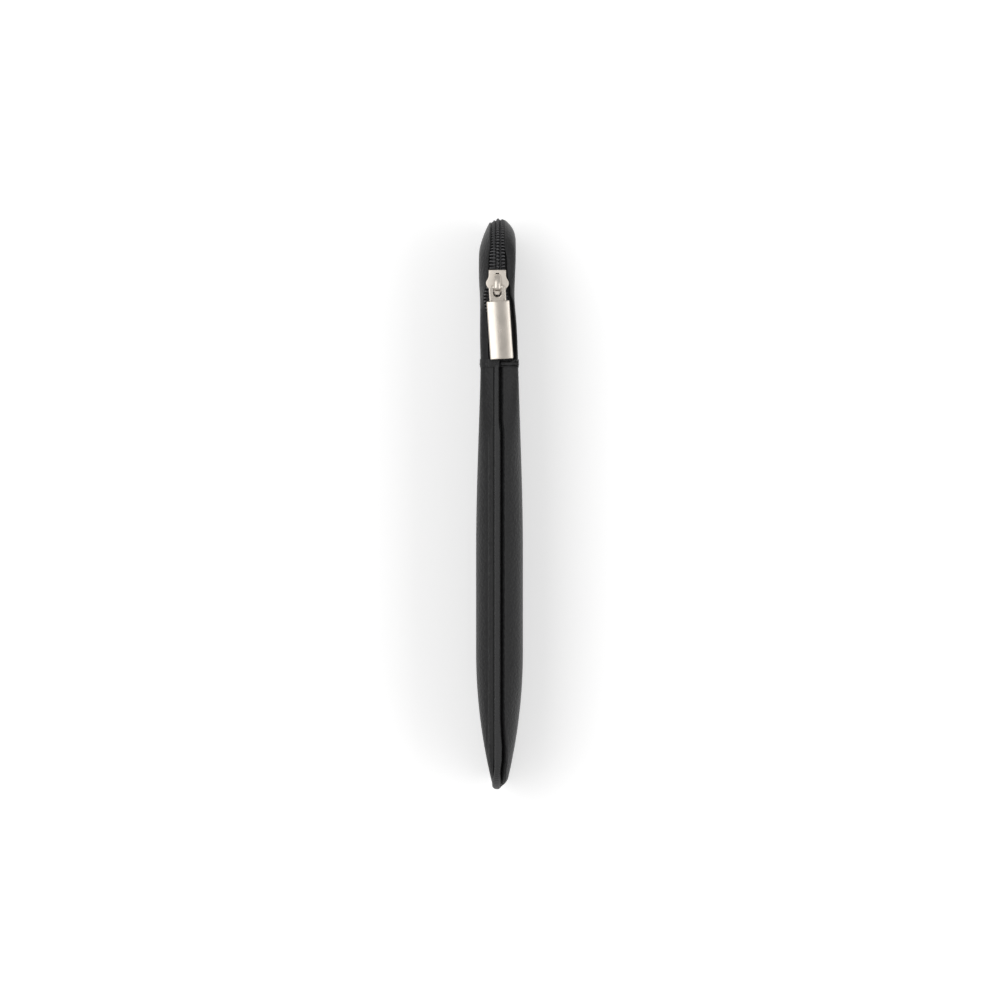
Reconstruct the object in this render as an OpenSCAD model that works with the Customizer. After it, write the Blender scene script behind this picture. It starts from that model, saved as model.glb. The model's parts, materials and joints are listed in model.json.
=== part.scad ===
// Slim zipped case for fountain pens, standing on its long edge.
// X is the thickness, Y the length with the zipped end at +Y, Z the width.
// The near edge, with the slider, is at z = case_w. The far edge rests at z = 0.

/* [Case] */
// Length, from the zip's crest to the binding's end
case_l = 171.6; // [160:0.1:185]
// Width, from edge to edge
case_w = 50; // [46:0.5:60]
// Thickness at the belly
belly_t = 14.1; // [13:0.1:16]
// Thickness beside the zip
mouth_t = 10.9; // [10.6:0.1:12.4]
// Thickness at the bottom end
tip_t = 3.95; // [3.9:0.05:5]
// Length of the tapered bottom end
taper_l = 41.3; // [36:0.1:50]
// Corner radius at the zipped end
top_r = 13.4; // [12:0.1:15]
// Corner radius at the bottom end
bottom_r = 10; // [8:0.5:14]
// Length of zip down each long edge, from the top
zip_drop = 42.4; // [41:0.1:50]
// Sideways place of the seam and the zip
seam_x = -0.65; // [-0.9:0.05:0]
// Sideways lean of the soft body at the zipped end
lean = 0.75; // [0:0.05:0.9]

/* [Layers] */
// Leather of the outer panels
leather_t = 0.75; // [0.6:0.05:0.9]
// Stiffener between leather and lining
interlining_t = 0.45; // [0.3:0.05:0.6]
// Lining fabric
lining_t = 0.35; // [0.2:0.05:0.5]
// Air between two layers
layer_gap = 0.05; // [0.03:0.01:0.1]

/* [Binding] */
// Width of the edge binding
binding_w = 2.5; // [2.2:0.1:3]
// Height of the binding above the panels
binding_h = 1.55; // [1.3:0.05:2]
// Thickness of the binding strip
binding_t = 0.45; // [0.3:0.05:0.6]

/* [Hem band] */
// Length of the hem band along the case
band_l = 2.4; // [1.8:0.1:4]
// Thickness of the hem band
band_t = 0.35; // [0.25:0.05:0.5]

/* [Zip] */
// Width of one coil
coil_w = 2.4; // [2.2:0.05:2.6]
// Height of a coil
coil_h = 1.9; // [1.7:0.05:2.1]
// Distance from one loop to the next
coil_pitch = 1; // [1:0.05:1.3]
// Thickness of the coil's wire
wire_t = 0.44; // [0.38:0.02:0.44]
// How far a loop's head reaches past the seam
head_reach = 0.25; // [0.15:0.05:0.35]
// Diameter of the cord inside a coil
core_d = 0.6; // [0.4:0.05:0.7]
// Thickness of the tape
tape_t = 0.4; // [0.3:0.05:0.5]
// How far each tape bends aside below the slider
gape = 1.75; // [1.4:0.05:2]
// How much further the front leather stands back from the zip by the hem
pull_back = 2.5; // [0:0.1:2.6]

/* [Slider] */
// Width of the slider's nose
nose_w = 5.2; // [5.2:0.1:5.3]
// Width across the slider's wings
wing_w = 6.8; // [6.6:0.1:7.4]
// Length of the slider's plates
slider_l = 6.6; // [6.4:0.1:7]
// Thickness of a plate
plate_t = 0.8; // [0.6:0.05:0.9]
// Width of the cap over the pull's eye
cap_w = 1.8; // [1.6:0.1:1.9]

/* [Pull] */
// Width of the pull's tab
tab_w = 6.85; // [5.5:0.05:8]
// Length of the pull's tab
tab_l = 17.5; // [12:0.1:22]
// Thickness of the tab at its crown
tab_t = 1.75; // [1.4:0.05:2]
// Width of the neck and its eye
neck_w = 5; // [4.8:0.1:5.4]
// Thickness of the neck
neck_t = 0.9; // [0.7:0.05:1]
// Radius of the eye
eye_r = 1.25; // [1.2:0.01:1.35]
// Radius of the round bar across the eye's end
bar_r = 0.5; // [0.42:0.01:0.52]
// Turn of the pull to one side
pull_turn = 3.9; // [0:0.1:5]

/* [Hidden] */
$fn = 48;

half_l = case_l / 2;
half_w = case_w / 2;
front = 1;
back = -1;

// where the hem band lies, and the zip above it
band_top = half_l - zip_drop;
band_low = band_top - band_l;

// the fold beside the zip, which lies closer round the top, and the flange inside the binding
fold_x = 2.75;
fold_depth = 1.2;
fold_round = 0.2;
fold_rise = 0.65;
fold_pinch = 0.4;
flange_gap = 0.03;
flange_x = binding_w / 2 - binding_t - layer_gap;
dome_depth = binding_h + layer_gap;

// how deep the rims of the inner layers lie, and how far they round over
lining_depth = 4.2;
interlining_depth = 8;
side_run = 12;
zip_run = 5;
top_run = 9.4;
bottom_run = 2;
bulge = 2.2;
rim_depth = 5;
deep_rings = [8, 12, 17, 22];
// how much the rings' ends bow outwards
spine_bow = 0.1;
// least rise of a flank over its dome
flank_slope = 0.1;

// the slider's place, and the stretch of chain that it holds open
slider_y = half_l - top_r - 6.4;
nose_end = slider_y + 4.1;
rear_end = nose_end - slider_l;
join_y = slider_y + 2.2;
gape_y = slider_y - 4;
back_close_y = gape_y - 9;
stop_l = 1.4;
stop_low = band_top + 0.6;
stop_top = stop_low + stop_l;
chain_end = stop_top + 0.3;

// heights above the far edge
crest_z = case_w;
run_gap = 0.15;
plate_low = crest_z + run_gap;
plate_top = plate_low + plate_t;
tape_depth = coil_h + 0.1;
lower_plate_top = crest_z - tape_depth - tape_t - run_gap;

// the pull's round bar turns under the cap
bar_gap = 0.05;
bar_z = plate_top + bar_r + bar_gap;
eye_y = slider_y - 2.76;
bar_off = eye_r + bar_r;
bar_y = eye_y + bar_off;
cap_inner = bar_r + 0.3;
cap_t = 0.6;
spring_t = 0.2;
tab_top_y = eye_y - 2.44;

function mix(a, b, k) = a + (b - a) * k;
function clamp(v, low, high) = min(max(v, low), high);
function smooth(a, b, v) = let (k = clamp((v - a) / (b - a), 0, 1)) k * k * (3 - 2 * k);
function bell(v, middle, spread) = exp(-pow((v - middle) / spread, 2));

// half the body's thickness along its length, and how far its middle leans aside
function half_t(y) =
    y < taper_l - half_l
    ? mix(belly_t, tip_t, pow((taper_l - half_l - y) / (taper_l - dome_depth), 2)) / 2
    : mix(belly_t, mouth_t, smooth(taper_l + 30.5 - half_l, half_l - 27.8, y)) / 2
        - 0.25 * bell(y, gape_y - 0.5, 5);
function body_x(y) = -lean * bell(y, slider_y, 13);
function reach(side, y) = half_t(y) + side * (body_x(y) - seam_x);

// 1 where the edge holds the zip, 0 where it holds the binding
function zipped(y) = clamp((y - band_low) / band_l, 0, 1);

// how far a tape is bent aside at y on the near edge: the back one closes again sooner
function open_at(y, side) =
    let (close_y = side == back ? back_close_y : chain_end)
    gape * (y > gape_y ? 1 - smooth(gape_y, join_y, y) : smooth(close_y, gape_y, y));

// stations round the outline: place and outward angle, from the middle of the bottom,
// up the near edge, to the middle of the top
side_ys = concat(
    [for (k = [1:4]) mix(bottom_r - half_l, taper_l - half_l, k / 4)],
    [for (k = [1:4]) mix(taper_l - half_l, band_low, k / 4)],
    [for (k = [0:8]) mix(band_top, half_l - top_r, k / 9)]);
near_half = concat(
    [for (k = [0.3, 0.75]) [-half_l, half_w + k * (half_w - bottom_r), 180]],
    [for (k = [0:5]) let (a = 180 - 18 * k)
        [bottom_r - half_l + bottom_r * cos(a), case_w - bottom_r + bottom_r * sin(a), a]],
    [for (y = side_ys) [y, case_w, 90]],
    [for (k = [0:7]) let (a = 90 - 90 * k / 7)
        [half_l - top_r + top_r * cos(a), case_w - top_r + top_r * sin(a), a]],
    [for (k = [0.6, 0.2]) [half_l, half_w + k * (half_w - top_r), 0]]);
far_half = [for (k = [len(near_half) - 1:-1:0]) let (s = near_half[k]) [s[0], case_w - s[1], -s[2]]];
outline = concat(near_half, far_half);
count = len(outline);

// a point under a station, square to the outline near the rim and then towards the spine
function square_in(s, d) = [s[0] - d * cos(s[2]), s[1] - d * sin(s[2])];
function inside(s, d) =
    d <= rim_depth
    ? square_in(s, d)
    : let (p = square_in(s, rim_depth),
           end = half_l - half_w - spine_bow * abs(p[1] - half_w),
           spine = [clamp(p[0], -end, end), half_w])
      p + (spine - p) * (d - rim_depth) / (half_w - rim_depth);

function on_near(s) = s[2] == 90 && s[0] > band_low;
function near_open(s, side) = on_near(s) && s[0] > band_top ? open_at(s[0], side) : 0;
function stand_back(s, side) =
    on_near(s) && side == front ? pull_back * (1 - smooth(stop_top, gape_y, s[0])) : 0;
function at_top(s) = smooth(half_l - top_r, half_l - top_r / 2, s[0]);
function fold_at(s, side) =
    fold_x - fold_pinch * at_top(s) + 0.715 * near_open(s, side) + stand_back(s, side);
function dome_x(s, side) = mix(binding_w / 2 + layer_gap, fold_at(s, side) + fold_round, zipped(s[0]));
function fold_depth_at(s) = fold_depth - fold_rise * at_top(s);
function edge_depth(s) = mix(dome_depth, fold_depth_at(s), zipped(s[0]));
function run(s) =
    mix(cos(s[2]) > 0 ? top_run : bottom_run,
        mix(side_run, zip_run, smooth(band_low - 30, band_top, s[0])), pow(sin(s[2]), 2));

// the body's domed surface at a depth from the edge, drawn in by t
function dome_at(s, side, d, t) =
    let (flank = reach(side, inside(s, d)[0]) - t, e = min(dome_x(s, side), flank - flank_slope),
         k = clamp((d - edge_depth(s) - t) / run(s), 0, 1))
    mix(e, flank, 1 - pow(1 - k, bulge));
function point(s, side, d, x) = let (p = inside(s, d)) [seam_x + side * x, p[0], p[1]];
function dome_ring(side, d, t) = [for (s = outline) point(s, side, d, dome_at(s, side, d, t))];
function dome_step_ring(side, step, t) =
    [for (s = outline) let (d = min(edge_depth(s) + step, rim_depth))
        point(s, side, d, dome_at(s, side, d, t))];
function edge_ring(side, bound_d, bound_x, fold_dd, fold_dx) =
    [for (s = outline) let (k = zipped(s[0]), x = mix(bound_x, dome_x(s, side) + fold_dx, k))
        point(s, side, mix(bound_d, fold_depth_at(s) + fold_dd, k), x)];

// two triangles for each four-sided face
function split(quads) = [for (q = quads) each [[q[0], q[1], q[2]], [q[0], q[2], q[3]]]];
function turned(faces) = [for (f = faces) [for (k = [len(f) - 1:-1:0]) f[k]]];

// a closed skin: outer rings from the rim to the middle, inner rings from the middle to the rim;
// both are cut into triangles the same way, so that nested skins keep their gap
module skin(side, outer, inner) {
    rings = concat(outer, inner);
    a = len(outer);
    total = len(rings);
    strips = [for (k = [0:total - 1]) if (k != a - 1) for (i = [0:count - 1])
        let (j = (i + 1) % count, n = (k + 1) % total)
        k < a
        ? [k * count + i, k * count + j, n * count + j, n * count + i]
        : [k * count + j, n * count + j, n * count + i, k * count + i]];
    caps = [for (i = [0:count / 2 - 2]) each let (m = count - 1 - i, o = (a - 1) * count, n = a * count)
        [[o + i, o + i + 1, o + m - 1, o + m], [n + m, n + m - 1, n + i + 1, n + i]]];
    faces = split(concat(strips, caps));
    polyhedron([for (r = rings) each r], side == front ? faces : turned(faces));
}

module panel(side) {
    outer = concat(
        [edge_ring(side, binding_t + layer_gap, flange_x, 0.35, -fold_round),
         edge_ring(side, binding_h, flange_x + 0.01, 0.12, 0.03 - fold_round),
         edge_ring(side, dome_depth, binding_w / 2 + layer_gap, 0, 0)],
        [for (step = [0.6, 1.6, 3]) dome_step_ring(side, step, 0)],
        [for (d = deep_rings) dome_ring(side, d, 0)]);
    inner = concat(
        [for (k = [3:-1:0]) dome_ring(side, deep_rings[k], leather_t)],
        [for (step = [3, 1.6]) dome_step_ring(side, leather_t + step - 0.6, leather_t)],
        [edge_ring(side, dome_depth + leather_t, flange_gap, leather_t, 0),
         edge_ring(side, binding_t + layer_gap, flange_gap, leather_t - 0.05, 0.01 - fold_round)]);
    skin(side, outer, inner);
}

module front_panel() {
    color("#2b2b2c") panel(front);
}

module back_panel() {
    color("#2b2b2c") panel(back);
}

// a layer under the leather: its depth below the outside, its thickness and its rings
module layer(side, t, thick, depths) {
    skin(side, [for (d = depths) dome_ring(side, d, t)],
        [for (k = [len(depths) - 1:-1:0]) dome_ring(side, depths[k], t + thick)]);
}

interlining_in = leather_t + layer_gap;
lining_in = interlining_in + interlining_t + layer_gap;

module front_interlining() {
    color("#8d8a84") layer(front, interlining_in, interlining_t, deep_rings);
}

module back_interlining() {
    color("#8d8a84") layer(back, interlining_in, interlining_t, deep_rings);
}

module front_lining() {
    color("#3a3a3d") layer(front, lining_in, lining_t, concat([lining_depth, rim_depth], deep_rings));
}

module back_lining() {
    color("#3a3a3d") layer(back, lining_in, lining_t, concat([lining_depth, rim_depth], deep_rings));
}

// the binding's section: a channel over the two flanges, drawn with its web at the origin
module binding_section() {
    translate([-binding_w / 2, -binding_h])
        difference() {
            square([binding_w, binding_h]);
            translate([binding_t, -binding_t])
                square([binding_w - 2 * binding_t, binding_h]);
        }
}

module binding_side(top) {
    translate([seam_x, band_low, top])
        rotate([90, 0, 0])
            linear_extrude(band_low + half_l - bottom_r)
                mirror([0, top == 0 ? 1 : 0]) binding_section();
}

module binding_corner(z, start) {
    translate([seam_x, bottom_r - half_l, z])
        rotate([0, 90, 0])
            rotate_extrude(angle = 90, start = start)
                translate([bottom_r, 0]) rotate(-90) binding_section();
}

module edge_binding() {
    color("#232324") {
        binding_side(case_w);
        binding_side(0);
        binding_corner(case_w - bottom_r, 180);
        binding_corner(bottom_r, 270);
        translate([seam_x, -half_l, bottom_r])
            linear_extrude(case_w - 2 * bottom_r)
                mirror([0, 1]) binding_section();
    }
}

// the hem band's outline across the case, grown outwards by g from the panels
band_near = [band_top, case_w, 90];
band_far = [band_top, 0, -90];
band_depths = [fold_depth, 1.8, 2.6, 4, zip_run + fold_depth + 0.3];
function band_x(s, side, d) =
    dome_at(s, side, d, 0) + reach(side, band_low) - reach(side, band_top);
function band_edge(s, side, g) =
    let (up = s == band_near ? 1 : -1)
    concat([[side * fold_x, s[1] - up * (binding_t - g)]],
        [for (d = band_depths) [side * (band_x(s, side, d) + g), s[1] - up * (d - (d < 4 ? g / 2 : 0))]]);
function reversed(list) = [for (k = [len(list) - 1:-1:0]) list[k]];
function band_side(side, g) =
    concat(band_edge(band_near, side, g), reversed(band_edge(band_far, side, g)));

module band_outline(g) {
    polygon(concat(band_side(front, g), reversed(band_side(back, g))));
}

module hem_band() {
    color("#262627")
        translate([seam_x, band_top, 0])
            rotate([90, 0, 0])
                linear_extrude(band_l)
                    difference() {
                        band_outline(layer_gap + band_t - 0.05);
                        band_outline(layer_gap);
                    }
}

// stations that carry the zip, from the near end round the top to the far end
zip_stations = [for (s = outline) if (s[0] >= band_top) s];

// an open strip swept along the zip: rings of 2 m points, m outside and m inside
module strip(side, rings) {
    m2 = len(rings[0]);
    last = len(rings) - 1;
    walls = [for (k = [0:last - 1]) for (i = [0:m2 - 1]) let (j = (i + 1) % m2)
        [k * m2 + i, k * m2 + j, (k + 1) * m2 + j, (k + 1) * m2 + i]];
    ends = [for (j = [0:m2 / 2 - 2]) each let (a = m2 - 1 - j, e = last * m2)
        [[a, a - 1, j + 1, j], [e + j, e + j + 1, e + a - 1, e + a]]];
    faces = split(concat(walls, ends));
    polyhedron([for (r = rings) each r], side == back ? faces : turned(faces));
}

// a tape's section: a flat strip under the coil, then a leg down inside the panel
tape_edge = 0.35;
tape_gap = 0.15;
function tape_ring(s, side) =
    let (o = near_open(s, side), leg = lining_depth - 0.3, t = leather_t + tape_gap,
         low = tape_depth + tape_t)
    [point(s, side, tape_depth, tape_edge + o),
     point(s, side, tape_depth, dome_x(s, side) - 0.08),
     point(s, side, low + 0.15, dome_at(s, side, low + 0.15, t)),
     point(s, side, leg, dome_at(s, side, leg, t)),
     point(s, side, leg, dome_at(s, side, leg, t + tape_t - 0.05)),
     point(s, side, low + 0.25, dome_at(s, side, low + 0.25, t + tape_t - 0.05)),
     point(s, side, low, dome_x(s, side) - 0.2),
     point(s, side, low, tape_edge + o)];

module front_tape() {
    color("#1f1f20") strip(front, [for (s = zip_stations) tape_ring(s, front)]);
}

module back_tape() {
    color("#1f1f20") strip(back, [for (s = zip_stations) tape_ring(s, back)]);
}

// the coil's route at half its height: side, corner, top, corner, side
path_r = top_r - coil_h / 2;
side_run_l = half_l - top_r - chain_end;
corner_l = path_r * PI / 2;
top_l = case_w - 2 * top_r;
path_l = 2 * side_run_l + 2 * corner_l + top_l;

// place and outward angle at a distance along the route, which mirrors about its middle
function near_way(s) =
    s < side_run_l
    ? [chain_end + s, case_w - coil_h / 2, 90]
    : s < side_run_l + corner_l
        ? let (a = 90 - 90 * (s - side_run_l) / corner_l)
          [half_l - top_r + path_r * cos(a), case_w - top_r + path_r * sin(a), a]
        : [half_l - coil_h / 2, case_w - top_r - (s - side_run_l - corner_l), 0];
function way(s) =
    s <= path_l / 2 ? near_way(s) : let (w = near_way(path_l - s)) [w[0], case_w - w[1], -w[2]];
function way_open(s, side) = s < side_run_l ? open_at(chain_end + s, side) : 0;

// one loop of the coil: a flattened ring of wire, its head past the seam
module loop_section() {
    r = coil_h / 2;
    bore = r - wire_t;
    span = coil_w - coil_h;
    difference() {
        union() {
            circle(r);
            translate([0, -r]) square([span, coil_h]);
            translate([span, 0]) circle(r);
        }
        circle(bore);
        translate([0, -bore]) square([span, 2 * bore]);
        translate([span, 0]) circle(bore);
    }
}

module coil(side, first) {
    loops = floor((path_l - first) / coil_pitch);
    for (k = [0:loops - 1]) {
        s = first + k * coil_pitch;
        w = way(s);
        translate([seam_x + side * (coil_h / 2 - head_reach + way_open(s, side)), w[0], w[1]])
            rotate([w[2], 0, 0])
                linear_extrude(wire_t, center = true)
                    mirror([side == front ? 0 : 1, 0]) loop_section();
    }
}

module front_coil() {
    color("#161617") coil(front, wire_t);
}

module back_coil() {
    color("#161617") coil(back, wire_t + coil_pitch / 2);
}

// the cord through a coil's loops
cord_steps = concat(
    [for (k = [0:12]) side_run_l * k / 13],
    [for (k = [0:8]) side_run_l + corner_l * k / 8],
    [for (k = [1:2]) side_run_l + corner_l + top_l * k / 4]);
cord_ways = concat(cord_steps, [for (k = [len(cord_steps) - 2:-1:0]) path_l - cord_steps[k]]);
cord_sides = 8;

module coil_cord(side) {
    rings = [for (s = cord_ways)
        let (w = way(s), x = coil_w / 2 - head_reach + way_open(s, side))
        [for (k = [0:cord_sides - 1]) let (a = 360 * k / cord_sides, u = core_d / 2 * sin(a))
            [seam_x + side * (x + core_d / 2 * cos(a)), w[0] + u * cos(w[2]), w[1] + u * sin(w[2])]]];
    last = len(rings) - 1;
    walls = [for (k = [0:last - 1]) for (i = [0:cord_sides - 1]) let (j = (i + 1) % cord_sides)
        [k * cord_sides + j, k * cord_sides + i, (k + 1) * cord_sides + i, (k + 1) * cord_sides + j]];
    ends = [[for (i = [0:cord_sides - 1]) i],
        [for (i = [cord_sides - 1:-1:0]) last * cord_sides + i]];
    faces = concat(split(walls), ends);
    polyhedron([for (r = rings) each r], side == back ? faces : turned(faces));
}

module front_coil_cord() {
    color("#4a4a4c") coil_cord(front);
}

module back_coil_cord() {
    color("#4a4a4c") coil_cord(back);
}

// a staple across both tapes at an end of the chain
stop_x = coil_w - head_reach + 0.15;
stop_depth = 0.25;
stop_bevel = 0.3;
module stop_block() {
    rotate([90, 0, 0])
        linear_extrude(stop_l)
            polygon([[-stop_x, -coil_h], [-stop_x, -stop_depth - stop_bevel],
                [stop_bevel - stop_x, -stop_depth], [stop_x - stop_bevel, -stop_depth],
                [stop_x, -stop_depth - stop_bevel], [stop_x, -coil_h]]);
}

module near_stop() {
    color("#1c1c1d") translate([seam_x, stop_top, case_w]) stop_block();
}

module far_stop() {
    color("#1c1c1d") translate([seam_x, stop_top, 0]) mirror([0, 0, 1]) stop_block();
}

// one half of a plate's outline, from the nose down to the rear; grow sets it wider
function plate_half(nose, wing, end) =
    [[nose - 0.35, end], [nose, end - 0.35], [nose, slider_y + 1.9], [wing - 0.1, slider_y + 0.45],
     [wing, slider_y], [wing - 0.1, slider_y - 0.4], [nose - 0.15, slider_y - 1.9], [1.3, rear_end]];
module plate_outline(nose, wing, end) {
    side = plate_half(nose, wing, end);
    polygon(concat(side, [for (p = reversed(side)) [-p[0], p[1]]]));
}

coil_edge = coil_w - head_reach;
channel_nose = coil_edge + 0.05;
channel_wing = coil_edge + open_at(slider_y, front) + 0.1;
lower_wing = fold_x + 0.05;
claw_y = slider_y + 1.7;
hole_x = 0.5;

module channel() {
    side = [[channel_nose, nose_end + 1], [channel_nose, slider_y + 1.9], [channel_wing, slider_y],
        [wing_w, slider_y - 0.2], [wing_w, rear_end - 1]];
    polygon(concat(side, [for (p = reversed(side)) [-p[0], p[1]]]));
}

module slider_body() {
    flange_l = 1;
    color("#bdb8b0") translate([seam_x, 0, 0]) {
        difference() {
            translate([0, 0, plate_low])
                linear_extrude(plate_t) plate_outline(nose_w / 2, wing_w / 2, nose_end);
            translate([-hole_x, claw_y - 0.25, plate_low - 1])
                cube([2 * hole_x, nose_end - 0.9 - claw_y + 0.25, plate_t + 2]);
        }
        translate([0, 0, crest_z - flange_l])
            linear_extrude(flange_l + run_gap)
                difference() {
                    plate_outline(nose_w / 2, wing_w / 2, nose_end);
                    channel();
                }
        translate([0, 0, lower_plate_top])
            linear_extrude(plate_low - lower_plate_top)
                polygon([[0, slider_y + 0.4], [0.45, slider_y - 1], [0.8, slider_y - 2.1],
                    [0.5, rear_end + 0.1], [-0.5, rear_end + 0.1], [-0.8, slider_y - 2.1],
                    [-0.45, slider_y - 1]]);
        translate([0, 0, lower_plate_top - plate_t])
            linear_extrude(plate_t) plate_outline(channel_nose + 0.1, lower_wing, nose_end - 0.3);
    }
}

// the cap's side view: a bridge over the bar, rising from its rear leg and sloping to its front foot
cap_rear = -bar_r - 0.12;
cap_base = plate_top - bar_z;
cap_top = cap_inner + cap_t;
cap_foot = slider_y + 2.79 - bar_y;
rear_leg_t = 0.43;
rear_leg_x = 0.5;

module side_view(wide) {
    translate([seam_x, bar_y, bar_z])
        rotate([90, 0, 90])
            linear_extrude(wide, center = true) children();
}

module slider_cap() {
    color("#c8c4bc")
        difference() {
            side_view(cap_w)
                difference() {
                    polygon([[cap_rear - rear_leg_t, cap_base], [cap_rear - rear_leg_t, cap_top - 0.45],
                        [cap_rear - 0.3, cap_top - 0.12], [cap_rear + 0.1, cap_top], [1.2, cap_top],
                        [1.8, cap_top - 0.3], [cap_foot, cap_base + 0.2], [cap_foot, cap_base]]);
                    polygon([[cap_rear, cap_base - 1], [cap_rear, cap_inner], [1, cap_inner],
                        [cap_foot - 0.55, cap_base], [cap_foot - 0.55, cap_base - 1]]);
                }
            for (side = [-1, 1])
                translate([seam_x + side * (rear_leg_x + 1), bar_y + cap_rear - 0.5, bar_z + cap_base])
                    cube([2, 1.2, 2 * (0.6 - cap_base)], center = true);
        }
}

// the leaf under the cap, with its claw down through the plate onto the coil
module lock_spring() {
    leaf = bar_r + bar_gap;
    fall = (cap_base - cap_inner) / (cap_foot - 1.55);
    claw = claw_y - bar_y;
    tip = crest_z + 0.03 - bar_z;
    roof = cap_inner - 0.09;
    color("#8f8b84")
        side_view(0.8)
            polygon([[cap_rear + 0.1, leaf], [cap_rear + 0.1, leaf + spring_t], [1, leaf + spring_t],
                [claw + 0.1, roof + fall * (claw - 0.9)], [claw + 0.1, tip], [claw - 0.1, tip],
                [claw - 0.1, roof + fall * (claw - 0.9) - 0.1], [1, leaf]]);
}

// the neck's outline: round over the bar, straight down to the tab, with a D-shaped eye up to the bar
eye_side = 1.1;
module neck_outline(tab_top) {
    difference() {
        union() {
            intersection() {
                circle(neck_w / 2);
                translate([-neck_w, -neck_w]) square([2 * neck_w, neck_w + bar_off]);
            }
            translate([-neck_w / 2, tab_top - 0.5]) square([neck_w, 0.5 - tab_top]);
        }
        circle(eye_r);
        translate([-eye_side, 0]) square([2 * eye_side, bar_off + 1]);
    }
}

module pull_tab() {
    rise = 0.45;
    crown_r = (pow(tab_w / 2, 2) + pow(rise, 2)) / (2 * rise);
    tab_top = tab_top_y - eye_y;
    bar_half = sqrt(pow(neck_w / 2, 2) - pow(bar_off, 2));
    color("#cfcac2")
        translate([seam_x, eye_y, bar_z - neck_t / 2])
            rotate([0, 0, pull_turn]) {
                linear_extrude(neck_t) neck_outline(tab_top);
                translate([-bar_half, bar_off, neck_t / 2])
                    rotate([0, 90, 0]) cylinder(2 * bar_half, r = bar_r);
                intersection() {
                    translate([-tab_w / 2, tab_top - tab_l, 0]) cube([tab_w, tab_l, tab_t + 1]);
                    translate([0, tab_top + 1, tab_t - crown_r])
                        rotate([90, 0, 0]) cylinder(tab_l + 2, r = crown_r);
                }
            }
}

front_panel();
back_panel();
front_interlining();
back_interlining();
front_lining();
back_lining();
edge_binding();
hem_band();
front_tape();
back_tape();
front_coil();
back_coil();
front_coil_cord();
back_coil_cord();
near_stop();
far_stop();
slider_body();
slider_cap();
lock_spring();
pull_tab();
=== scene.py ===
"""A slim zipped leather pen case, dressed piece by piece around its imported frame.

Every surface is worked out as a grid of points from the sizes below, and takes its place from the frame.
All lengths are in metres.
"""

import json
import math
from collections import namedtuple

import bpy
import bmesh
import numpy as np
from bpy.props import FloatProperty, FloatVectorProperty, PointerProperty
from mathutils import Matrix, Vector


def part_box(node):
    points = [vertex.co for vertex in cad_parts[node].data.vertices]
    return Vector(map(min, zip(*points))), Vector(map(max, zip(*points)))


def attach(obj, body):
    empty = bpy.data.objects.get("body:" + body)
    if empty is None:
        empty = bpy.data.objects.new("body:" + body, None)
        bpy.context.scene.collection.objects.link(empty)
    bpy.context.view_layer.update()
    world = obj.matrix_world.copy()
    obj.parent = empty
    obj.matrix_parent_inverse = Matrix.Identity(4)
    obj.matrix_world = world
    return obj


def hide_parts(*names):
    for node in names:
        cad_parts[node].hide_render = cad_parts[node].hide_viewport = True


bl_info = {
    "name": "Pen Case Dresser",
    "version": (1, 0, 0),
    "blender": (4, 5, 0),
    "location": "3D View > Sidebar > Pen Case",
    "description": "Makes the leather, binding, zip and metal of a slim pen case around its frame",
    "category": "Object",
}

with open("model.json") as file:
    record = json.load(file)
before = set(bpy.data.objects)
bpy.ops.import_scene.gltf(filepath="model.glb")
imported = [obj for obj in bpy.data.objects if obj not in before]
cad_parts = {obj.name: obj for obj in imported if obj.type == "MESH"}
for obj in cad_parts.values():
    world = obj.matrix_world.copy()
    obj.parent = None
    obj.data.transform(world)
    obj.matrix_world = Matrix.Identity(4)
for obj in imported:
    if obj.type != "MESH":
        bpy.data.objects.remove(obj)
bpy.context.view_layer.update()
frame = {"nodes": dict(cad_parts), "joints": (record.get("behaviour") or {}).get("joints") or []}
# a millimetre, a length too small to see, and the two sides of the seam
MM = 0.001
HAIR = 0.01 * MM
FRONT, BACK = 1, -1


def span(node, axis):
    """Lowest and highest value of a CAD node along an axis, 0 to 2 for X to Z."""
    low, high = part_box(node)
    return low[axis], high[axis]


# places read from the frame
HALF_L = -span("edge_binding", 1)[0]
CASE_W = span("edge_binding", 2)[1]
HALF_W = CASE_W / 2
SEAM_X = sum(span("edge_binding", 0)) / 2
BAND_LOW, BAND_TOP = span("hem_band", 1)
REAR_END, NOSE_END = span("slider_body", 1)
LOWER_PLATE, PLATE_TOP = span("slider_body", 2)
SLIDER_Y = NOSE_END - 4.1 * MM
JOIN_Y = SLIDER_Y + 2.2 * MM
GAPE_Y = SLIDER_Y - 4 * MM
STOP_TOP = span("near_stop", 1)[1]
CHAIN_END = STOP_TOP + 0.3 * MM
BACK_CLOSE_Y = GAPE_Y - 9 * MM
HINGE = next(j for j in frame["joints"] if j["name"] == "pull_swing")["pos_m"]

# the grids' steps along the straights and round the corners
SIDE_STEP, ARC_STEP = 0.5 * MM, 0.6 * MM

# places along the case count from its middle towards the zipped end

# the body's thickness: how far past the taper its fall to the mouth starts, how far before the top that
# ends, how far before its end the taper is down to the tip, and the waist beside the pull: depth, place
# and half length
MOUTH_START, MOUTH_END = 30.5 * MM, 27.8 * MM
TAPER_TRIM = 0.8 * MM
WAIST = (0.25 * MM, GAPE_Y - 0.5 * MM, 5 * MM)
# radius of the corners that the zip runs round, and half the length over which the middle leans aside
TOP_RADIUS = 13.4 * MM
LEAN_RUN = 13 * MM
# the front's flank is drawn in towards the top over a span, and at the tip from a place over a run
TOP_DRAW, TOP_DRAW_SPAN = 0.35 * MM, (72 * MM, 82 * MM)
TIP_DRAW, TIP_DRAW_Y, TIP_DRAW_RUN = 1.86 * MM, -82.2 * MM, 3.2 * MM
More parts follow.
